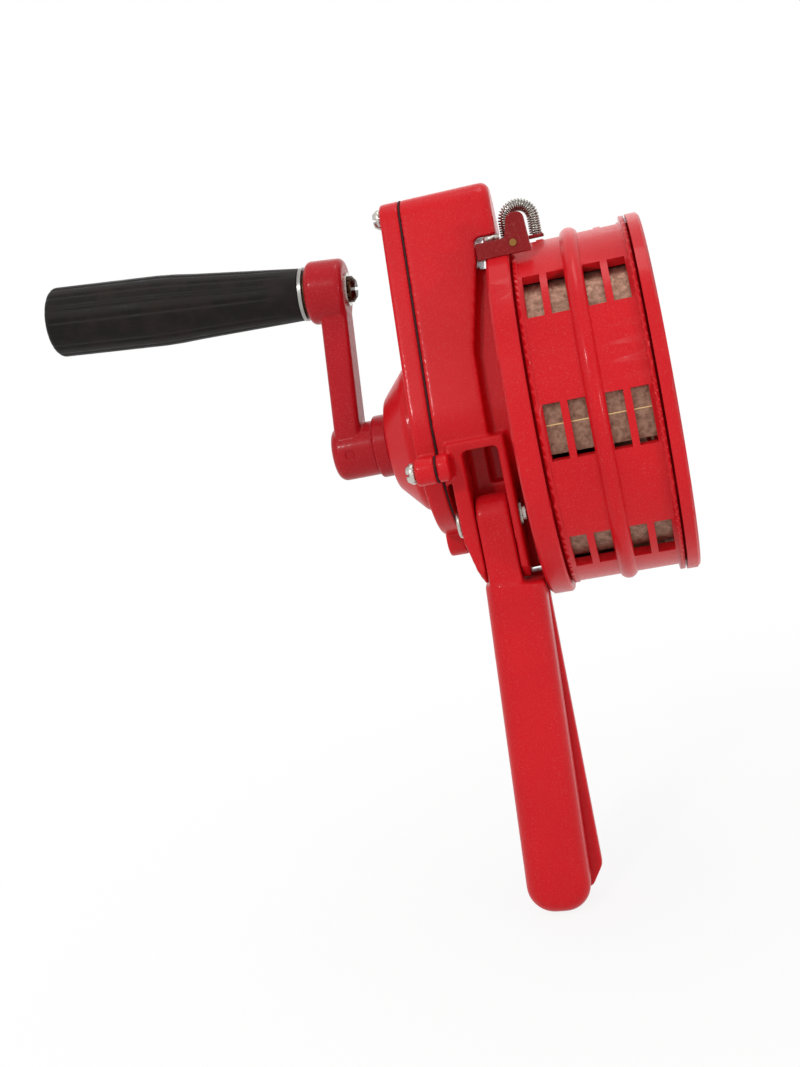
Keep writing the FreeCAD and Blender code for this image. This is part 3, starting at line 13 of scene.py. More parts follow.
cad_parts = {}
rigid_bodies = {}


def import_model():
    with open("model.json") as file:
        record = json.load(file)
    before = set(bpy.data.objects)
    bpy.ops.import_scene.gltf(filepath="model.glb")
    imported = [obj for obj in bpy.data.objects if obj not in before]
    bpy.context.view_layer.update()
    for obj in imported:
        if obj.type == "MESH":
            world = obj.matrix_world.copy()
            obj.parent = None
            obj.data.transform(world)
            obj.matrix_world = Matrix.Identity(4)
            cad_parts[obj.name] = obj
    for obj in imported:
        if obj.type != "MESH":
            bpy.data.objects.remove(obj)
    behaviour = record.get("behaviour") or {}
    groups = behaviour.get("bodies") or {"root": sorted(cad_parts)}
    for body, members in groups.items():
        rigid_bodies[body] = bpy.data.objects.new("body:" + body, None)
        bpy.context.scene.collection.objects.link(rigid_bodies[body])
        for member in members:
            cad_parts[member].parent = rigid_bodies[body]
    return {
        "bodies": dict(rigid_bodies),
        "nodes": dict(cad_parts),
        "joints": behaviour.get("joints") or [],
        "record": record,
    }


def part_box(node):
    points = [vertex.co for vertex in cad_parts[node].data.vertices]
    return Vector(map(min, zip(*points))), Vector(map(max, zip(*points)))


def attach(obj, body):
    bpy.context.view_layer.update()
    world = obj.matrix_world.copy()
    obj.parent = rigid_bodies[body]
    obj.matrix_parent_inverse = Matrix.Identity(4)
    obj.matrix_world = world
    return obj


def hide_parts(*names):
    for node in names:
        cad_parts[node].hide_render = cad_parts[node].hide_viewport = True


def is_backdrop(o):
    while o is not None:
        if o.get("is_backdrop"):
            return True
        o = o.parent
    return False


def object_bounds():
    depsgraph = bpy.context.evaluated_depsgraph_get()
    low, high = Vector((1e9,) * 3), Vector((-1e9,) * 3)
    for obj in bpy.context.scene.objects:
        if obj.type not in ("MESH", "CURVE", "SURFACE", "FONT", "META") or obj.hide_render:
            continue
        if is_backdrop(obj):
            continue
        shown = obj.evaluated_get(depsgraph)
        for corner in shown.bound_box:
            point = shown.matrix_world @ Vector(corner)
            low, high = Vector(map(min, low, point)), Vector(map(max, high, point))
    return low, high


LOG = logging.getLogger("siren")
MM = 0.001
WELD_DISTANCE = 0.002 * MM
FACE_WEIGHT = 60
ACROSS_LIMIT = 0.3
LEAST_NORMAL = 0.1
BEVEL_SAMPLES = 4


class Crease(Enum):
    """Angles in degrees above which the faces of a piece meet in a sharp edge."""

    SKIN = 28
    HANDLE = 50
    SPRING = 60
    CASTING = 75


# Shader helpers

def linear(hex_colour: str) -> tuple[float, float, float, float]:
    """Turn an sRGB hex colour into the linear values that shaders use.

    Args:
        hex_colour: Six hex digits with a leading hash.

    Returns:
        Red, green, blue and alpha, linear.
    """
    channels = []
    for start in (1, 3, 5):
        share = int(hex_colour[start:start + 2], 16) / 255
        channels.append(share / 12.92 if share <= 0.04045 else ((share + 0.055) / 1.055) ** 2.4)
    return channels[0], channels[1], channels[2], 1.0


def add_node(tree: bpy.types.NodeTree, kind: str, settings: dict[str, Any] | None = None,
             **inputs: Any) -> bpy.types.Node:
    """Add one node with its settings, values and links.

    Args:
        tree: The node tree to add it to.
        kind: The node's type name.
        settings: Attributes set on the node itself.
        **inputs: Socket names with spaces as underscores; a value sets the socket, an output
            socket is linked to it. A name that ends in a number picks the socket by index.

    Returns:
        The new node.
    """
    node = tree.nodes.new(kind)
    for name, setting in (settings or {}).items():
        setattr(node, name, setting)
    for name, source in inputs.items():
        socket = (node.inputs[int(name[5:])] if name.startswith("input")
                  else node.inputs[name.replace("_", " ")])
        if isinstance(source, bpy.types.NodeSocket):
            tree.links.new(source, socket)
        else:
            socket.default_value = source
    return node


def new_material(name: str) -> tuple[bpy.types.Material, bpy.types.NodeTree, bpy.types.Node]:
    """Make an empty material with a Principled shader.

    Args:
        name: The material's name.

    Returns:
        The material, its node tree and the shader node.
    """
    material = bpy.data.materials.new(name)
    material.use_nodes = True
    tree = material.node_tree
    tree.nodes.clear()
    shader = tree.nodes.new("ShaderNodeBsdfPrincipled")
    output = tree.nodes.new("ShaderNodeOutputMaterial")
    tree.links.new(shader.outputs["BSDF"], output.inputs["Surface"])
    return material, tree, shader


def noise(tree: bpy.types.NodeTree, place: bpy.types.NodeSocket, size_mm: float,
          detail: float, roughness: float = 0.5) -> bpy.types.NodeSocket:
    """Add noise whose patches have a real size.

    Args:
        tree: The material's node tree.
        place: Where on the piece the noise is read.
        size_mm: Width of a patch in millimetres.
        detail: How many finer layers it has.
        roughness: How strong the finer layers are.

    Returns:
        The noise's value.
    """
    return add_node(tree, "ShaderNodeTexNoise", Vector=place, Scale=1 / (size_mm * MM),
                    Detail=detail, Roughness=roughness).outputs["Fac"]


def ranged(tree: bpy.types.NodeTree, value: bpy.types.NodeSocket,
           span: tuple[float, float], result: tuple[float, float]) -> bpy.types.NodeSocket:
    """Stretch a span of a value to another span.

    Args:
        tree: The material's node tree.
        value: The value to stretch.
        span: Its least and greatest values.
        result: What they turn into.

    Returns:
        The stretched value.
    """
    return add_node(tree, "ShaderNodeMapRange", Value=value, From_Min=span[0], From_Max=span[1],
                    To_Min=result[0], To_Max=result[1]).outputs["Result"]


def mixed(tree: bpy.types.NodeTree, share: bpy.types.NodeSocket,
          first: str | bpy.types.NodeSocket, second: str) -> bpy.types.NodeSocket:
    """Mix two colours.

    Args:
        tree: The material's node tree.
        share: Share of the second colour.
        first: A hex colour, or the colour another node gives.
        second: A hex colour.

    Returns:
        The mixed colour.
    """
    source = linear(first) if isinstance(first, str) else first
    return add_node(tree, "ShaderNodeMix", {"data_type": "RGBA"}, input0=share, input6=source,
                    input7=linear(second)).outputs[2]


# Mesh helpers

def focus(piece: bpy.types.Object) -> None:
    """Make one object the only selected and active one.

    Args:
        piece: The object.
    """
    if bpy.context.object and bpy.context.object.mode != "OBJECT":
        bpy.ops.object.mode_set(mode="OBJECT")
    bpy.ops.object.select_all(action="DESELECT")
    piece.select_set(True)
    bpy.context.view_layer.objects.active = piece


def dressed(piece: bpy.types.Object, material: bpy.types.Material) -> None:
    """Give an object one material all over.

    Args:
        piece: The object.
        material: Its only material from now on.
    """
    piece.data.materials.clear()
    piece.data.materials.append(material)


def smooth(piece: bpy.types.Object, crease: Crease) -> None:
    """Shade an object smooth, but sharp at its creases.

    Args:
        piece: The object.
        crease: Which angles count as creases.
    """
    focus(piece)
    bpy.ops.object.shade_smooth_by_angle(angle=math.radians(crease.value))


def merged_copy(node: bpy.types.Object, name: str) -> bpy.types.Object:
    """Copy a node and join its loose triangles into one surface.

    Args:
        node: The node's object.
        name: The new piece's name.

    Returns:
        The copy, linked into the scene.
    """
    piece = bpy.data.objects.new(name, node.data.copy())
    bpy.context.scene.collection.objects.link(piece)
    focus(piece)
    bpy.ops.object.mode_set(mode="EDIT")
    bpy.ops.mesh.select_all(action="SELECT")
    bpy.ops.mesh.remove_doubles(threshold=WELD_DISTANCE)
    bpy.ops.object.mode_set(mode="OBJECT")
    piece.data.materials.clear()
    return piece


def apply_modifiers(piece: bpy.types.Object) -> None:
    """Apply every modifier of an object in order.

    Args:
        piece: The object.
    """
    focus(piece)
    for modifier in list(piece.modifiers):
        bpy.ops.object.modifier_apply(modifier=modifier.name)


def even_normals(piece: bpy.types.Object) -> None:
    """Let large faces keep their own normals where they meet small ones.

    Args:
        piece: A smooth-shaded piece.
    """
    weigh = piece.modifiers.new("even_normals", "WEIGHTED_NORMAL")
    weigh.mode = "FACE_AREA"
    weigh.keep_sharp = True
    weigh.weight = FACE_WEIGHT
    apply_modifiers(piece)


def turned_normals(piece: bpy.types.Object) -> None:
    """Give faces turned about the X axis the normals of a true round.

    Args:
        piece: A smooth-shaded piece; its faces that run across the round stay as they are.
    """
    mesh = piece.data
    normals = [corner.vector.copy() for corner in mesh.corner_normals]
    for face in mesh.polygons:
        middle = face.center
        reach = math.hypot(middle.y, middle.z)
        if reach < MM:
            continue
        across = Vector((0, -middle.z, middle.y)) / reach
        if abs(face.normal.dot(across)) > ACROSS_LIMIT:
            continue
        for index in face.loop_indices:
            point = mesh.vertices[mesh.loops[index].vertex_index].co
            span = math.hypot(point.y, point.z)
            if span < MM:
                continue
            along = Vector((0, -point.z, point.y)) / span
            normal = normals[index] - along * normals[index].dot(along)
            if normal.length > LEAST_NORMAL:
                normals[index] = normal.normalized()
    mesh.normals_split_custom_set(normals)


def softened(piece: bpy.types.Object, voxel: float, rounds: int) -> None:
    """Turn a solid into one even surface with the soft edges of a painted casting.

    Args:
        piece: The joined solid.
        voxel: Size of the new faces.
        rounds: How often the points are evened out.
    """
    remesh = piece.modifiers.new("even_surface", "REMESH")
    remesh.mode = "VOXEL"
    remesh.voxel_size = voxel
    soften = piece.modifiers.new("soft_edges", "SMOOTH")
    soften.factor = 0.5
    soften.iterations = rounds
    apply_modifiers(piece)
    smooth(piece, Crease.CASTING)


# Finishes

@dataclass(frozen=True)
class Enamel:
    """Glossy enamel over cast aluminium, with a faint cast grain under it."""

    name: str
    colour: str
    deep_colour: str
    speck_colour: str = "#E08A80"
    relief: float = 0.45
    roughness: float = 0.34
    specular: float = 0.1
    coat: float = 0.14
    coat_roughness: float = 0.1
    patch_mm: float = 34.0
    grain_mm: float = 1.1
    peel_mm: float = 5.5
    speck_mm: float = 0.55
    edge_mm: float = 0.25

    def make(self) -> bpy.types.Material:
        """Build the material.

        Returns:
            The enamel material.
        """
        material, tree, shader = new_material(self.name)
        place = add_node(tree, "ShaderNodeTexCoord").outputs["Object"]
        patches = noise(tree, place, self.patch_mm, detail=3.0)
        tone = ranged(tree, patches, (0.35, 0.7), (0.0, 0.55))
        specks = noise(tree, place, self.speck_mm, detail=2.0, roughness=0.6)
        speck_tone = ranged(tree, specks, (0.56, 0.72), (0.0, 0.35 * self.relief))
        base = mixed(tree, tone, self.colour, self.deep_colour)
        tree.links.new(mixed(tree, speck_tone, base, self.speck_colour),
                       shader.inputs["Base Color"])
        grain = noise(tree, place, self.grain_mm, detail=3.0, roughness=0.55)
        rounded = add_node(tree, "ShaderNodeBevel", {"samples": BEVEL_SAMPLES},
                           Radius=self.edge_mm * MM)
        peel = noise(tree, place, self.peel_mm, detail=2.0)
        waves = add_node(tree, "ShaderNodeBump", Strength=0.18, Distance=0.35 * MM,
                         Height=peel, Normal=rounded.outputs["Normal"])
        bumps = add_node(tree, "ShaderNodeBump", Strength=self.relief * 0.5,
                         Distance=0.12 * MM, Height=grain, Normal=waves.outputs["Normal"])
        tree.links.new(bumps.outputs["Normal"], shader.inputs["Normal"])
        tree.links.new(waves.outputs["Normal"], shader.inputs["Coat Normal"])
        gloss = ranged(tree, grain, (0.3, 0.7), (self.roughness * 0.8, self.roughness * 1.25))
        tree.links.new(gloss, shader.inputs["Roughness"])
        shader.inputs["Coat Weight"].default_value = self.coat
        shader.inputs["Coat Roughness"].default_value = self.coat_roughness
        shader.inputs["Specular IOR Level"].default_value = self.specular
        return material


@dataclass(frozen=True)
class Metal:
    """Bare metal: brushed, turned, cast or plated, by its scratches, its stains and its grain."""

    name: str
    colour: str
    stain_colour: str
    roughness: float
    grain_mm: float
    grain_depth: float
    stain: float = 0.4
    stain_mm: float = 6.0
    stretch: tuple[float, float, float] = (1.0, 1.0, 1.0)
    edge_mm: float = 0.15

    def make(self) -> bpy.types.Material:
        """Build the material.

        Returns:
            The metal material.
        """
        material, tree, shader = new_material(self.name)
        place = add_node(tree, "ShaderNodeTexCoord").outputs["Object"]
        drawn = add_node(tree, "ShaderNodeMapping", Vector=place, Scale=self.stretch)
        stains = noise(tree, place, self.stain_mm, detail=5.0, roughness=0.65)
        tone = ranged(tree, stains, (0.4, 0.68), (0.0, self.stain))
        grain = noise(tree, drawn.outputs["Vector"], self.grain_mm, detail=3.0, roughness=0.6)
        tree.links.new(mixed(tree, tone, self.colour, self.stain_colour),
                       shader.inputs["Base Color"])
        gloss = ranged(tree, grain, (0.3, 0.7), (self.roughness * 0.75, self.roughness * 1.3))
        tree.links.new(gloss, shader.inputs["Roughness"])
        rounded = add_node(tree, "ShaderNodeBevel", {"samples": BEVEL_SAMPLES},
                           Radius=self.edge_mm * MM)
        bump = add_node(tree, "ShaderNodeBump", Strength=self.grain_depth,
                        Distance=0.1 * MM, Height=grain, Normal=rounded.outputs["Normal"])
        tree.links.new(bump.outputs["Normal"], shader.inputs["Normal"])
        shader.inputs["Metallic"].default_value = 1.0
        return material


@dataclass(frozen=True)
class Phenolic:
    """Moulded black phenolic: nearly black with a warm tint, worn dull by hands."""

    name: str = "black_phenolic"
    colour: str = "#181413"
    worn_colour: str = "#2A2320"
    roughness: float = 0.46
    specular: float = 0.12
    pore_mm: float = 0.5
    worn_mm: float = 9.0

    def make(self) -> bpy.types.Material:
        """Build the material.

        Returns:
            The handle's material.
        """
        material, tree, shader = new_material(self.name)
        place = add_node(tree, "ShaderNodeTexCoord").outputs["Object"]
        wear = noise(tree, place, self.worn_mm, detail=4.0, roughness=0.6)
        tone = ranged(tree, wear, (0.42, 0.7), (0.0, 0.7))
        tree.links.new(mixed(tree, tone, self.colour, self.worn_colour),
                       shader.inputs["Base Color"])
        pores = noise(tree, place, self.pore_mm, detail=3.0)
        gloss = ranged(tree, wear, (0.3, 0.7), (self.roughness * 0.8, self.roughness * 1.3))
        tree.links.new(gloss, shader.inputs["Roughness"])
        bump = add_node(tree, "ShaderNodeBump", Strength=0.35, Distance=0.08 * MM, Height=pores)
        tree.links.new(bump.outputs["Normal"], shader.inputs["Normal"])
        shader.inputs["Specular IOR Level"].default_value = self.specular
        return material


@dataclass(frozen=True)
class SealingPaper:
    """Oiled sealing paper: dark, matt and slightly fibrous."""

    name: str = "sealing_paper"
    colour: str = "#3A0A0C"
    fibre_colour: str = "#14080A"
    roughness: float = 0.85
    fibre_mm: float = 0.6

    def make(self) -> bpy.types.Material:
        """Build the material.

        Returns:
            The gasket's material.
        """
        material, tree, shader = new_material(self.name)
        place = add_node(tree, "ShaderNodeTexCoord").outputs["Object"]
        fibres = noise(tree, place, self.fibre_mm, detail=4.0)
        tree.links.new(mixed(tree, fibres, self.colour, self.fibre_colour),
                       shader.inputs["Base Color"])
        shader.inputs["Roughness"].default_value = self.roughness
        return material


class Finishes:
    """Every finish of the siren, made once."""

    def __init__(self) -> None:
        """Build all the materials."""
        # Drum, gearbox and grip: an even, deep signal red with a thin bright line at each edge.
        self.enamel = Enamel("red_enamel", "#CE141E", "#BE0E1A").make()
        # Crank: the same enamel, a shade darker and duller. This is painted shade, because its
        # faces sit further back and catch less light.
        self.shaded_arm_enamel = Enamel("crank_enamel_painted_shade", "#B0121E", "#960E1A").make()
        # Bracket on top: the red enamel painted dark, nearly maroon. This is painted shade for its
        # faces, which sit back from the light.
        self.shaded_bracket_enamel = Enamel("bracket_enamel_painted_shade", "#8C1418", "#701014").make()
        # Handle: nearly black, with a dull shine and fine pores.
        self.phenolic = Phenolic().make()
        # Screw heads and nuts: pale silver, a little cloudy.
        self.zinc = Metal("zinc_plate", "#C9C6BE", "#8F8A80", 0.28, 0.8, 0.25).make()
        # Shafts, gears and ferrule: grey steel with the fine rings left by turning.
        self.steel = Metal("turned_steel", "#A9A7A4", "#6E6A66", 0.3, 0.5, 0.2,
                           stretch=(1.0, 0.1, 0.1)).make()
        # Spring: bright wire with darker blotches laid at random along it.
        self.spring = Metal("spring_wire", "#B4B0A8", "#4C4640", 0.25, 0.4, 0.15,
                            stain=0.6, stain_mm=2.2).make()
        # Bushes and rivet: dull yellow brown.
        self.bronze = Metal("sintered_bronze", "#9A6F3C", "#5E4326", 0.45, 0.3, 0.5).make()
        # Handle's bolt: very dark brown with a worn sheen.
        self.aged = Metal("aged_bronze", "#4A3527", "#1D1512", 0.38, 0.7, 0.5,
                          stain=0.7, stain_mm=2.5).make()
        # Rotor: bare sand cast metal, warm brown grey and blotched.
        self.cast = Metal("cast_aluminium", "#A07C6A", "#5E3E32", 0.45, 0.9, 0.4,
                          stain=0.8, stain_mm=2.6).make()
        # Rotor's painted highlight: thin raised lines in a brighter, yellower metal. They stand in
        # for the narrow glint of light along its turned rim.
        self.seam = Metal("rotor_glint_paint", "#E6C08A", "#B98F58", 0.3, 0.4, 0.3).make()
        # Gasket: a thin dark line between the castings.
        self.paper = SealingPaper().make()


# The siren's sub-assemblies

@dataclass
class Siren:
    """What every sub-assembly shares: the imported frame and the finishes."""

    frame: dict[str, Any]
    finishes: Finishes

    def node(self, name: str) -> bpy.types.Object:
        """Find a node's object.

        Args:
            name: The node's name.

        Returns:
            Its object in the frame.
        """
        return self.frame["nodes"][name]

    def body(self, name: str) -> str:
        """Find the body that a node belongs to.

        Args:
            name: The node's name.

        Returns:
            The body's name.
        """
        bodies = self.frame["record"]["behaviour"]["bodies"]
        return next(body for body, nodes in bodies.items() if name in nodes)

    def joint(self, name: str) -> dict[str, Any]:
        """Find a joint of the frame.

        Args:
            name: The joint's name.

        Returns:
            Its place and axis.
        """
        return next(joint for joint in self.frame["joints"] if joint["name"] == name)

    def dress(self, material: bpy.types.Material, *names: str) -> None:
        """Paint nodes that keep their own solid.

        Args:
            material: Their finish.
            *names: The nodes' names.
        """
        for name in names:
            dressed(self.node(name), material)
            LOG.info("%s keeps its solid in %s", name, material.name)

    def stand_in(self, piece: bpy.types.Object, name: str) -> None:
        """Let a finished piece ride with a node's body and stand for the node.

        Args:
            piece: The piece.
            name: The node's name.
        """
        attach(piece, self.body(name))
        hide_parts(name)
        LOG.info("%s stands for %s", piece.name, name)

    def skin(self, name: str, material: bpy.types.Material) -> bpy.types.Object:
        """Stand one smooth, joined surface in for a node's loose triangles.

        Args:
            name: The node's name.
            material: Its finish.

        Returns:
            The new piece.
        """
        piece = merged_copy(self.node(name), name + "_skin")
        smooth(piece, Crease.SKIN)
        even_normals(piece)
        dressed(piece, material)
        self.stand_in(piece, name)
        return piece

    def casting(self, name: str, material: bpy.types.Material, voxel: float,
                rounds: int) -> None:
        """Stand a softened surface in for a node that is cast and painted.

        Args:
            name: The node's name.
            material: Its finish.
            voxel: Size of the new surface's faces.
            rounds: How often its points are evened out.
        """
        piece = merged_copy(self.node(name), name + "_skin")
        softened(piece, voxel, rounds)
        dressed(piece, material)
        self.stand_in(piece, name)


@dataclass
class Drum(Siren):
    """The ported drum with its two end plates and their screws."""

    def build(self) -> None:
        """Dress the drum."""
        for name in ("stator_drum", "front_plate", "back_plate"):
            turned_normals(self.skin(name, self.finishes.enamel))
        self.dress(self.finishes.zinc, "front_plate_screws", "back_plate_screws", "neck_screws")


@dataclass
class RotorSet(Siren):
    """The cast rotor behind the ports, with two thin bright lines laid along it as painted
    highlights.
    """

    glint_turns: tuple[float, ...] = (-2.0, 178.0)
    glint_radius: float = 72.75 * MM
    glint_wide: float = 0.5 * MM
    glint_high: float = 0.12 * MM
    glint_short: float = 1.2 * MM
    glint_soft: float = 0.6

    def build(self) -> None:
        """Dress the rotor and its shaft, and add the painted highlight lines."""
        turned_normals(self.skin("rotor", self.finishes.cast))
        self.dress(self.finishes.steel, "rotor_shaft", "rotor_key", "rotor_spacer",
                   "rotor_pinion", "front_bearing", "rear_bearing")
        self.dress(self.finishes.zinc, "rotor_nut")
        self.make_painted_glints()

    def make_painted_glints(self) -> None:
        """Lay two low ridges in a bright metal along the rotor's rim, as painted highlights."""
        low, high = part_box("rotor")
        for number, turned in enumerate(self.glint_turns, start=1):
            bpy.ops.object.select_all(action="DESELECT")
            bpy.ops.mesh.primitive_cube_add(size=1.0)
            ridge = bpy.context.object
            ridge.name = "rotor_painted_glint_%d" % number
            ridge.scale = (high.x - low.x - self.glint_short, 2 * self.glint_high, self.glint_wide)
            ridge.location = ((low.x + high.x) / 2, -self.glint_radius, 0)
            bpy.ops.object.transform_apply(location=True, rotation=False, scale=True)
            ridge.data.transform(Matrix.Rotation(math.radians(turned), 4, "X"))
            bevel = ridge.modifiers.new("soft_edge", "BEVEL")
            bevel.width = self.glint_high * self.glint_soft
            bevel.segments = 2
            apply_modifiers(ridge)
            # The ridge's brighter, yellower metal is a painted highlight.
            dressed(ridge, self.finishes.seam)
            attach(ridge, "rotor")
            LOG.info("%s rides on the rotor", ridge.name)


@dataclass
class Gearbox(Siren):
    """The pear-shaped gearbox with its cover, seal, screws, bushes and gears."""

    housing_voxel: float = 1.0 * MM
    housing_rounds: int = 4
    cover_voxel: float = 0.8 * MM
    cover_rounds: int = 3

    def build(self) -> None:
        """Dress the gearbox."""
        self.casting("gearbox_housing", self.finishes.enamel, self.housing_voxel,
                     self.housing_rounds)
        self.casting("gearbox_cover", self.finishes.enamel, self.cover_voxel, self.cover_rounds)
        self.dress(self.finishes.paper, "cover_gasket")
        self.skin("cover_screws", self.finishes.zinc)
        self.dress(self.finishes.bronze, "crank_bush", "counter_bush_front", "counter_bush_rear")
        self.dress(self.finishes.steel, "crank_gear", "crank_gear_key", "crank_gear_clip",
                   "counter_shaft", "counter_pinion", "counter_gear")


@dataclass
class Crank(Siren):
    """The leaning crank arm with its collar, shaft, pin and the handle's bolt."""

    arm_voxel: float = 0.5 * MM
    arm_rounds: int = 6

    def build(self) -> None:
        """Dress the crank."""
        # The arm, its collar and its pin wear the darker enamel, which paints in shade.
        self.casting("crank_arm", self.finishes.shaded_arm_enamel, self.arm_voxel, self.arm_rounds)
        self.skin("crank_collar", self.finishes.shaded_arm_enamel)
        self.dress(self.finishes.shaded_arm_enamel, "crank_pin")
        self.dress(self.finishes.steel, "crank_shaft", "handle_sleeve")
        self.skin("handle_bolt", self.finishes.aged)
        self.dress(self.finishes.aged, "handle_spacer")
        self.dress(self.finishes.zinc, "handle_washer", "handle_nut")


@dataclass
class CrankHandle(Siren):
    """The long black handle: slim at its root, full at its end, with shallow lengthwise flutes."""

    start: float = 14.4 * MM
    length: float = 121.0 * MM
    root_radius: float = 12.0 * MM
    middle_radius: float = 15.2 * MM
    radius: float = 16.4 * MM
    taper: float = 50.0 * MM
    swell: float = 20.0 * MM
    root_round: float = 1.0 * MM
    root_step: float = 0.3 * MM
    end_round: float = 3.0 * MM
    bore_radius: float = 5.6 * MM
    recess_radius: float = 9.0 * MM
    recess: float = 8.3 * MM
    recess_edge: float = 0.5 * MM
    flutes: int = 16
    flute_depth: float = 0.45 * MM
    flute_start: float = 8 * MM
    flute_run: float = 14 * MM
    sides: int = 160
    barrel_rings: int = 14
    round_rings: int = 6

    def outline(self) -> list[tuple[float, float, float]]:
        """List the rings of the handle from its root to the bottom of its recess.

        Returns:
            Distance along the axis, radius and share of the flute's depth, ring by ring.
        """
        rings = [(0.0, self.bore_radius, 0.0), (0.0, self.root_radius - self.root_round, 0.0),
                 (self.root_step, self.root_radius - self.root_step, 0.0),
                 (self.root_round, self.root_radius, 0.0)]
        barrel = self.length - self.end_round
        for ring in range(1, self.barrel_rings + 1):
            along = self.root_round + (barrel - self.root_round) * ring / self.barrel_rings
            fluted = min(1.0, max(0.0, (along - self.flute_start) / self.flute_run))
            rings.append((along, self.width_at(along), fluted))
        for ring in range(1, self.round_rings + 1):
            angle = math.pi / 2 * ring / self.round_rings
            rings.append((barrel + self.end_round * math.sin(angle),
                          self.radius - self.end_round * (1 - math.cos(angle)),
                          1.0 - ring / self.round_rings))
        rings.append((self.length, self.recess_radius + self.recess_edge, 0.0))
        rings.append((self.length - self.recess_edge, self.recess_radius, 0.0))
        rings.append((self.length - self.recess, self.recess_radius, 0.0))
        rings.append((self.length - self.recess, self.bore_radius, 0.0))
        return rings

    def width_at(self, along: float) -> float:
        """Work out the radius of the handle.

        Args:
            along: Distance from its root.

        Returns:
            The radius there.
        """
        if along < self.taper:
            share = along / self.taper
            return self.root_radius + (self.middle_radius - self.root_radius) * share
        if along < self.taper + self.swell:
            share = (along - self.taper) / self.swell
            eased = math.sin(share * math.pi / 2)
            return self.middle_radius + (self.radius - self.middle_radius) * eased
        return self.radius

    def build(self) -> None:
        """Model the handle ring by ring, sink the flutes and dress it with its ferrule."""
        self.skin("handle_ferrule", self.finishes.steel)
        bpy.ops.object.select_all(action="DESELECT")
        rings = self.outline()
        bpy.ops.mesh.primitive_circle_add(vertices=self.sides, radius=rings[0][1],
                                          location=(0, 0, rings[0][0]))
        handle = bpy.context.object
        handle.name = "fluted_handle"
        bpy.ops.object.transform_apply(location=True, rotation=True, scale=True)
        bpy.ops.object.mode_set(mode="EDIT")
        bpy.ops.mesh.select_all(action="SELECT")
        for here, there in zip(rings, rings[1:]):
            bpy.ops.mesh.extrude_region_move()
            bpy.ops.transform.translate(value=(0, 0, there[0] - here[0]))
            share = there[1] / here[1]
            bpy.ops.transform.resize(value=(share, share, 1), center_override=(0, 0, there[0]))
        bpy.ops.object.mode_set(mode="OBJECT")
        self.sink_flutes(handle, rings)
        self.close_bore(handle)
        self.place(handle)
        smooth(handle, Crease.HANDLE)
        dressed(handle, self.finishes.phenolic)
        self.stand_in(handle, "crank_handle")

    def sink_flutes(self, handle: bpy.types.Object,
                    rings: Sequence[tuple[float, float, float]]) -> None:
        """Draw the points of each ring in between the lands.

        Args:
            handle: The turned handle, one ring of points after another.
            rings: Distance, radius and share of the flute's depth of each ring.
        """
        for number, (_, _, share) in enumerate(rings):
            for side in range(self.sides):
                point = handle.data.vertices[number * self.sides + side].co
                angle = math.atan2(point.y, point.x)
                dip = max(0.0, math.cos(angle * self.flutes)) ** 3 * self.flute_depth * share
                reach = math.hypot(point.x, point.y)
                point.x *= (reach - dip) / reach
                point.y *= (reach - dip) / reach

    def close_bore(self, handle: bpy.types.Object) -> None:
        """Join the two ends of the bore by its wall and point all faces outwards.

        Args:
            handle: The handle, open at both ends of its bore.
        """
        focus(handle)
        bpy.ops.object.mode_set(mode="EDIT")
        bpy.ops.mesh.select_all(action="DESELECT")
        bpy.ops.mesh.select_mode(type="EDGE")
        bpy.ops.mesh.select_non_manifold()
        bpy.ops.mesh.bridge_edge_loops()
        bpy.ops.mesh.select_all(action="SELECT")
        bpy.ops.mesh.normals_make_consistent(inside=False)
        bpy.ops.object.mode_set(mode="OBJECT")

    def place(self, handle: bpy.types.Object) -> None:
        """Turn the handle onto its axis, which the frame gives.

        Args:
            handle: The handle, upright with its root at the origin.
        """
        joint = self.joint("handle_spin")
        axis = Vector(joint["axis"]).normalized()
        turn = axis.to_track_quat("Z", "Y").to_matrix().to_4x4()
        root = Vector(joint["pos_m"]) + axis * self.start
        handle.data.transform(Matrix.Translation(root) @ turn)


@dataclass
class FoldingGrip(Siren):
    """The folding grip with its hinge pin and clip."""

    voxel: float = 0.6 * MM
    rounds: int = 30

    def build(self) -> None:
        """Soften the grip as a casting under thick enamel and dress it."""
        self.casting("folding_grip", self.finishes.enamel, self.voxel, self.rounds)
        self.skin("hinge_pin", self.finishes.zinc)
        self.dress(self.finishes.spring, "hinge_clip")


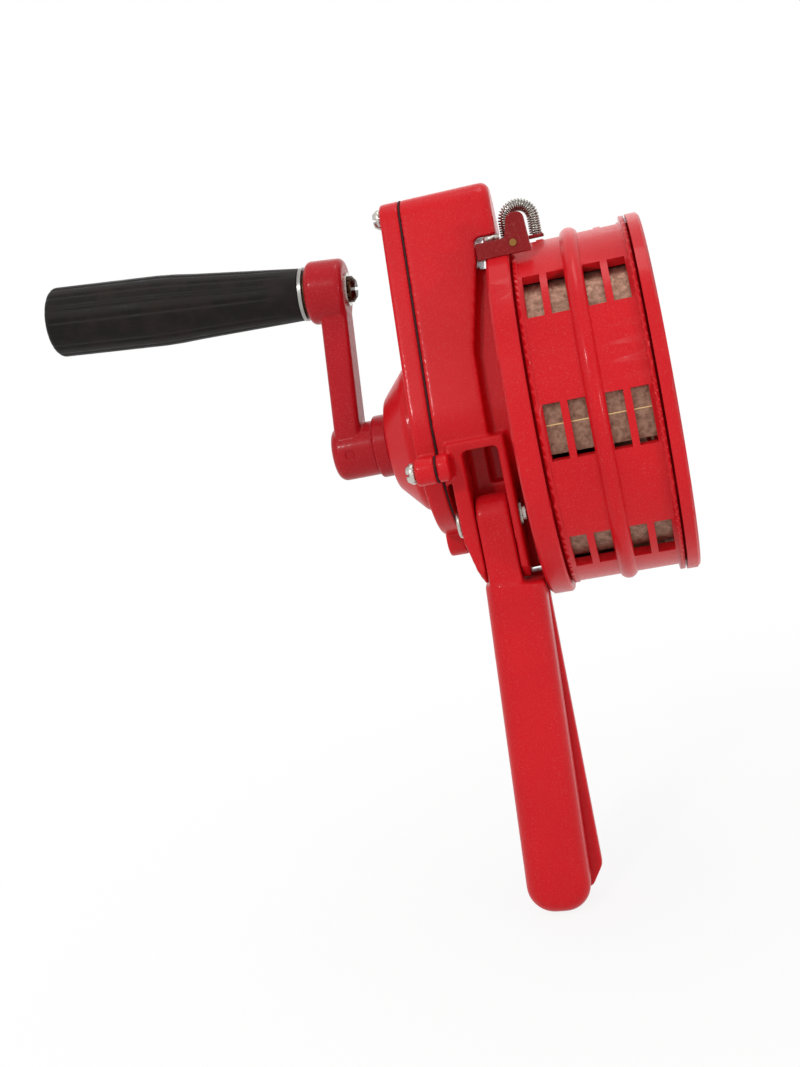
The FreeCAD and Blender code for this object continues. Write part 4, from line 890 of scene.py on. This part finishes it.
@dataclass
class CarryLoop(Siren):
    """The bracket on top with its screws and the sprung loop over its tongue."""

    bracket_voxel: float = 0.4 * MM
    bracket_rounds: int = 5
    turns: int = 34
    wire: float = 0.42 * MM
    coil: float = 2.45 * MM
    bend: float = 6.4 * MM
    leg: float = 8.0 * MM
    seat: float = 0.9 * MM
    steps: int = 20

    def centre(self, along: float, middle: Vector) -> tuple[Vector, Vector]:
        """Find a point on the loop's centre line and its outward direction.

        Args:
            along: Length from the foot of the first leg.
            middle: Centre of the bend.

        Returns:
            The point and the unit vector away from the bend's centre.
        """
        arc = math.pi * self.bend
        if along < self.leg:
            return middle + Vector((-self.bend, 0, along - self.leg)), Vector((-1, 0, 0))
        if along > self.leg + arc:
            return middle + Vector((self.bend, 0, self.leg + arc - along)), Vector((1, 0, 0))
        angle = (along - self.leg) / self.bend
        outward = Vector((-math.cos(angle), 0, math.sin(angle)))
        return middle + outward * self.bend, outward

    def wire_points(self) -> list[Vector]:
        """Wind the wire round the loop's centre line.

        Returns:
            Points along the wire.
        """
        low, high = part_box("carry_loop")
        foot = low.z + self.seat
        middle = Vector(((low.x + high.x) / 2, 0, foot + self.leg))
        whole = 2 * self.leg + math.pi * self.bend
        inset = self.wire
        side = Vector((0, 1, 0))
        points = []
        for step in range(self.turns * self.steps + 1):
            share = step / (self.turns * self.steps)
            along = inset + (whole - 2 * inset) * share
            spot, outward = self.centre(along, middle)
            angle = 2 * math.pi * self.turns * share
            points.append(spot + self.coil * (outward * math.cos(angle) + side * math.sin(angle)))
        return points

    def build(self) -> None:
        """Dress the bracket and wind the close spring."""
        # The bracket wears the darkened enamel, which paints in shade.
        self.casting("carry_bracket", self.finishes.shaded_bracket_enamel, self.bracket_voxel,
                     self.bracket_rounds)
        self.skin("bracket_screws", self.finishes.zinc)
        self.dress(self.finishes.bronze, "ear_rivet")
        self.dress(self.finishes.steel, "carry_loop")
        points = self.wire_points()
        line = bpy.data.curves.new("wire_line", "CURVE")
        line.dimensions = "3D"
        spline = line.splines.new("POLY")
        spline.points.add(len(points) - 1)
        for point, spot in zip(spline.points, points):
            point.co = (*spot, 1)
        line.bevel_depth = self.wire
        line.bevel_resolution = 2
        line.use_fill_caps = True
        spring = bpy.data.objects.new("wound_spring", line)
        bpy.context.scene.collection.objects.link(spring)
        focus(spring)
        bpy.ops.object.convert(target="MESH")
        spring = bpy.context.object
        smooth(spring, Crease.SPRING)
        dressed(spring, self.finishes.spring)
        self.stand_in(spring, "carry_spring")


# Studio and camera

@dataclass(frozen=True)
class Lamp:
    """One square soft lamp: where it hangs and its side in metres, and its power in watts."""

    name: str
    place: tuple[float, float, float]
    size: float
    power: float


LAMPS = (
    Lamp("key_lamp", (-0.55, -1.15, 0.85), 0.14, 5.0),
    Lamp("fill_lamp", (0.95, -0.9, 0.1), 0.18, 2.4),
    Lamp("top_lamp", (0.1, 0.1, 1.2), 0.4, 2.0),
    Lamp("low_lamp", (0.1, -0.9, -0.75), 0.6, 1.0),
    Lamp("back_lamp", (-0.2, 1.3, 0.5), 1.0, 2.0),
)


@dataclass
class Studio:
    """A pale floor, a white surround, soft lamps and the camera where the photo was taken."""

    camera_place: tuple[float, float, float] = (-23.26 * MM, -600.0 * MM, 59.6 * MM)
    camera_pan: float = 10.444
    camera_tilt: float = 9.491
    camera_roll: float = -12.010
    focal_length: float = 58.63
    sensor: float = 36.0
    nearest: float = 0.01
    farthest: float = 50
    lamp_aim: tuple[float, float, float] = (-0.08, 0, -0.05)
    ambient: float = 0.74
    floor_size: float = 6.0
    floor_gap: float = 0.2 * MM
    floor_grey: float = 0.8
    shadow_reach: float = 0.45
    shadow_cover: float = 0.86

    def build(self, floor_level: float) -> None:
        """Set up the floor, the surround, the lamps and the camera.

        Args:
            floor_level: Height of the lowest point of the siren.
        """
        scene = bpy.context.scene
        scene.view_settings.view_transform = "Standard"
        self.make_camera(scene)
        self.make_surround(scene)
        self.make_floor(floor_level)
        for lamp in LAMPS:
            self.make_lamp(lamp)

    def make_camera(self, scene: bpy.types.Scene) -> None:
        """Put the camera where the photo's was.

        Args:
            scene: The scene that it looks at.
        """
        lens = bpy.data.cameras.new("camera")
        lens.sensor_fit = "HORIZONTAL"
        lens.sensor_width = self.sensor
        lens.lens = self.focal_length
        lens.clip_start = self.nearest
        lens.clip_end = self.farthest
        camera = bpy.data.objects.new("camera", lens)
        scene.collection.objects.link(camera)
        camera.matrix_world = (
            Matrix.Translation(self.camera_place)
            @ Matrix.Rotation(math.radians(self.camera_pan), 4, "Z")
            @ Matrix.Rotation(math.radians(90 - self.camera_tilt), 4, "X")
            @ Matrix.Rotation(math.radians(self.camera_roll), 4, "Z"))
        scene.camera = camera

    def make_surround(self, scene: bpy.types.Scene) -> None:
        """Make it white where it is seen, mirrored or looked through, and dimmer as light.

        Args:
            scene: The scene that it surrounds.
        """
        world = bpy.data.worlds.new("surround")
        scene.world = world
        world.use_nodes = True
        tree = world.node_tree
        tree.nodes.clear()
        rays = add_node(tree, "ShaderNodeLightPath")
        direct = add_node(tree, "ShaderNodeMath", {"operation": "MAXIMUM"},
                          input0=rays.outputs["Is Camera Ray"],
                          input1=rays.outputs["Is Glossy Ray"])
        seen = add_node(tree, "ShaderNodeMath", {"operation": "MAXIMUM"},
                        input0=direct.outputs[0],
                        input1=rays.outputs["Is Transmission Ray"])
        strength = ranged(tree, seen.outputs[0], (0.0, 1.0), (self.ambient, 1.0))
        back = add_node(tree, "ShaderNodeBackground", Color=(1, 1, 1, 1), Strength=strength)
        output = add_node(tree, "ShaderNodeOutputWorld")
        tree.links.new(back.outputs["Background"], output.inputs["Surface"])

    def make_floor(self, level: float) -> None:
        """Lay a plain pale floor that keeps a faint shadow.

        Args:
            level: Height of the lowest point of the siren.
        """
        bpy.ops.object.select_all(action="DESELECT")
        bpy.ops.mesh.primitive_plane_add(size=self.floor_size,
                                         location=(0, 0, level - self.floor_gap))
        floor = bpy.context.object
        floor.name = "floor"
        material = bpy.data.materials.new("pale_floor")
        material.use_nodes = True
        tree = material.node_tree
        tree.nodes.clear()
        rays = add_node(tree, "ShaderNodeLightPath")
        grey = (self.floor_grey, self.floor_grey, self.floor_grey, 1)
        matt = add_node(tree, "ShaderNodeBsdfDiffuse", Color=grey)
        glow = add_node(tree, "ShaderNodeEmission", Color=(1, 1, 1, 1), Strength=1.0)
        spot = add_node(tree, "ShaderNodeTexCoord").outputs["Object"]
        reach = add_node(tree, "ShaderNodeVectorMath", {"operation": "LENGTH"}, input0=spot)
        fade = add_node(tree, "ShaderNodeMapRange", {"interpolation_type": "SMOOTHSTEP"},
                        Value=reach.outputs["Value"], From_Min=0.0, From_Max=self.shadow_reach,
                        To_Min=self.shadow_cover, To_Max=1.0)
        seen = add_node(tree, "ShaderNodeMath", {"operation": "MAXIMUM"},
                        input0=rays.outputs["Is Camera Ray"],
                        input1=rays.outputs["Is Glossy Ray"])
        share = add_node(tree, "ShaderNodeMath", {"operation": "MULTIPLY"},
                         input0=seen.outputs[0], input1=fade.outputs["Result"])
        mix = add_node(tree, "ShaderNodeMixShader", input0=share.outputs[0],
                       input1=matt.outputs["BSDF"], input2=glow.outputs["Emission"])
        output = add_node(tree, "ShaderNodeOutputMaterial")
        tree.links.new(mix.outputs["Shader"], output.inputs["Surface"])
        dressed(floor, material)
        floor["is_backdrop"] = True

    def make_lamp(self, lamp: Lamp) -> None:
        """Hang a lamp that faces the siren.

        Args:
            lamp: Its name, place, size and power.
        """
        light = bpy.data.lights.new(lamp.name, "AREA")
        light.shape = "SQUARE"
        light.size = lamp.size
        light.energy = lamp.power
        holder = bpy.data.objects.new(lamp.name, light)
        bpy.context.scene.collection.objects.link(holder)
        holder.location = lamp.place
        towards = Vector(self.lamp_aim) - Vector(lamp.place)
        holder.rotation_euler = towards.to_track_quat("-Z", "Y").to_euler()


def corners(box: Sequence[Sequence[float]]) -> list[list[float]]:
    """Turn a box's two corners into plain lists.

    Args:
        box: The lowest and the highest corner.

    Returns:
        The same corners as lists of numbers.
    """
    return [[float(number) for number in corner] for corner in box]


def main() -> None:
    """Load the frame, build every sub-assembly and the studio, and finish."""
    logging.basicConfig(level=logging.INFO, format="%(message)s")
    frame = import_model()
    solid_box = corners(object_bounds())
    bpy.ops.object.select_all(action="DESELECT")
    finishes = Finishes()
    for assembly in (Drum, RotorSet, Gearbox, Crank, CrankHandle, FoldingGrip, CarryLoop):
        assembly(frame, finishes).build()
    Studio().build(solid_box[0][2])


if __name__ == "__main__":
    main()
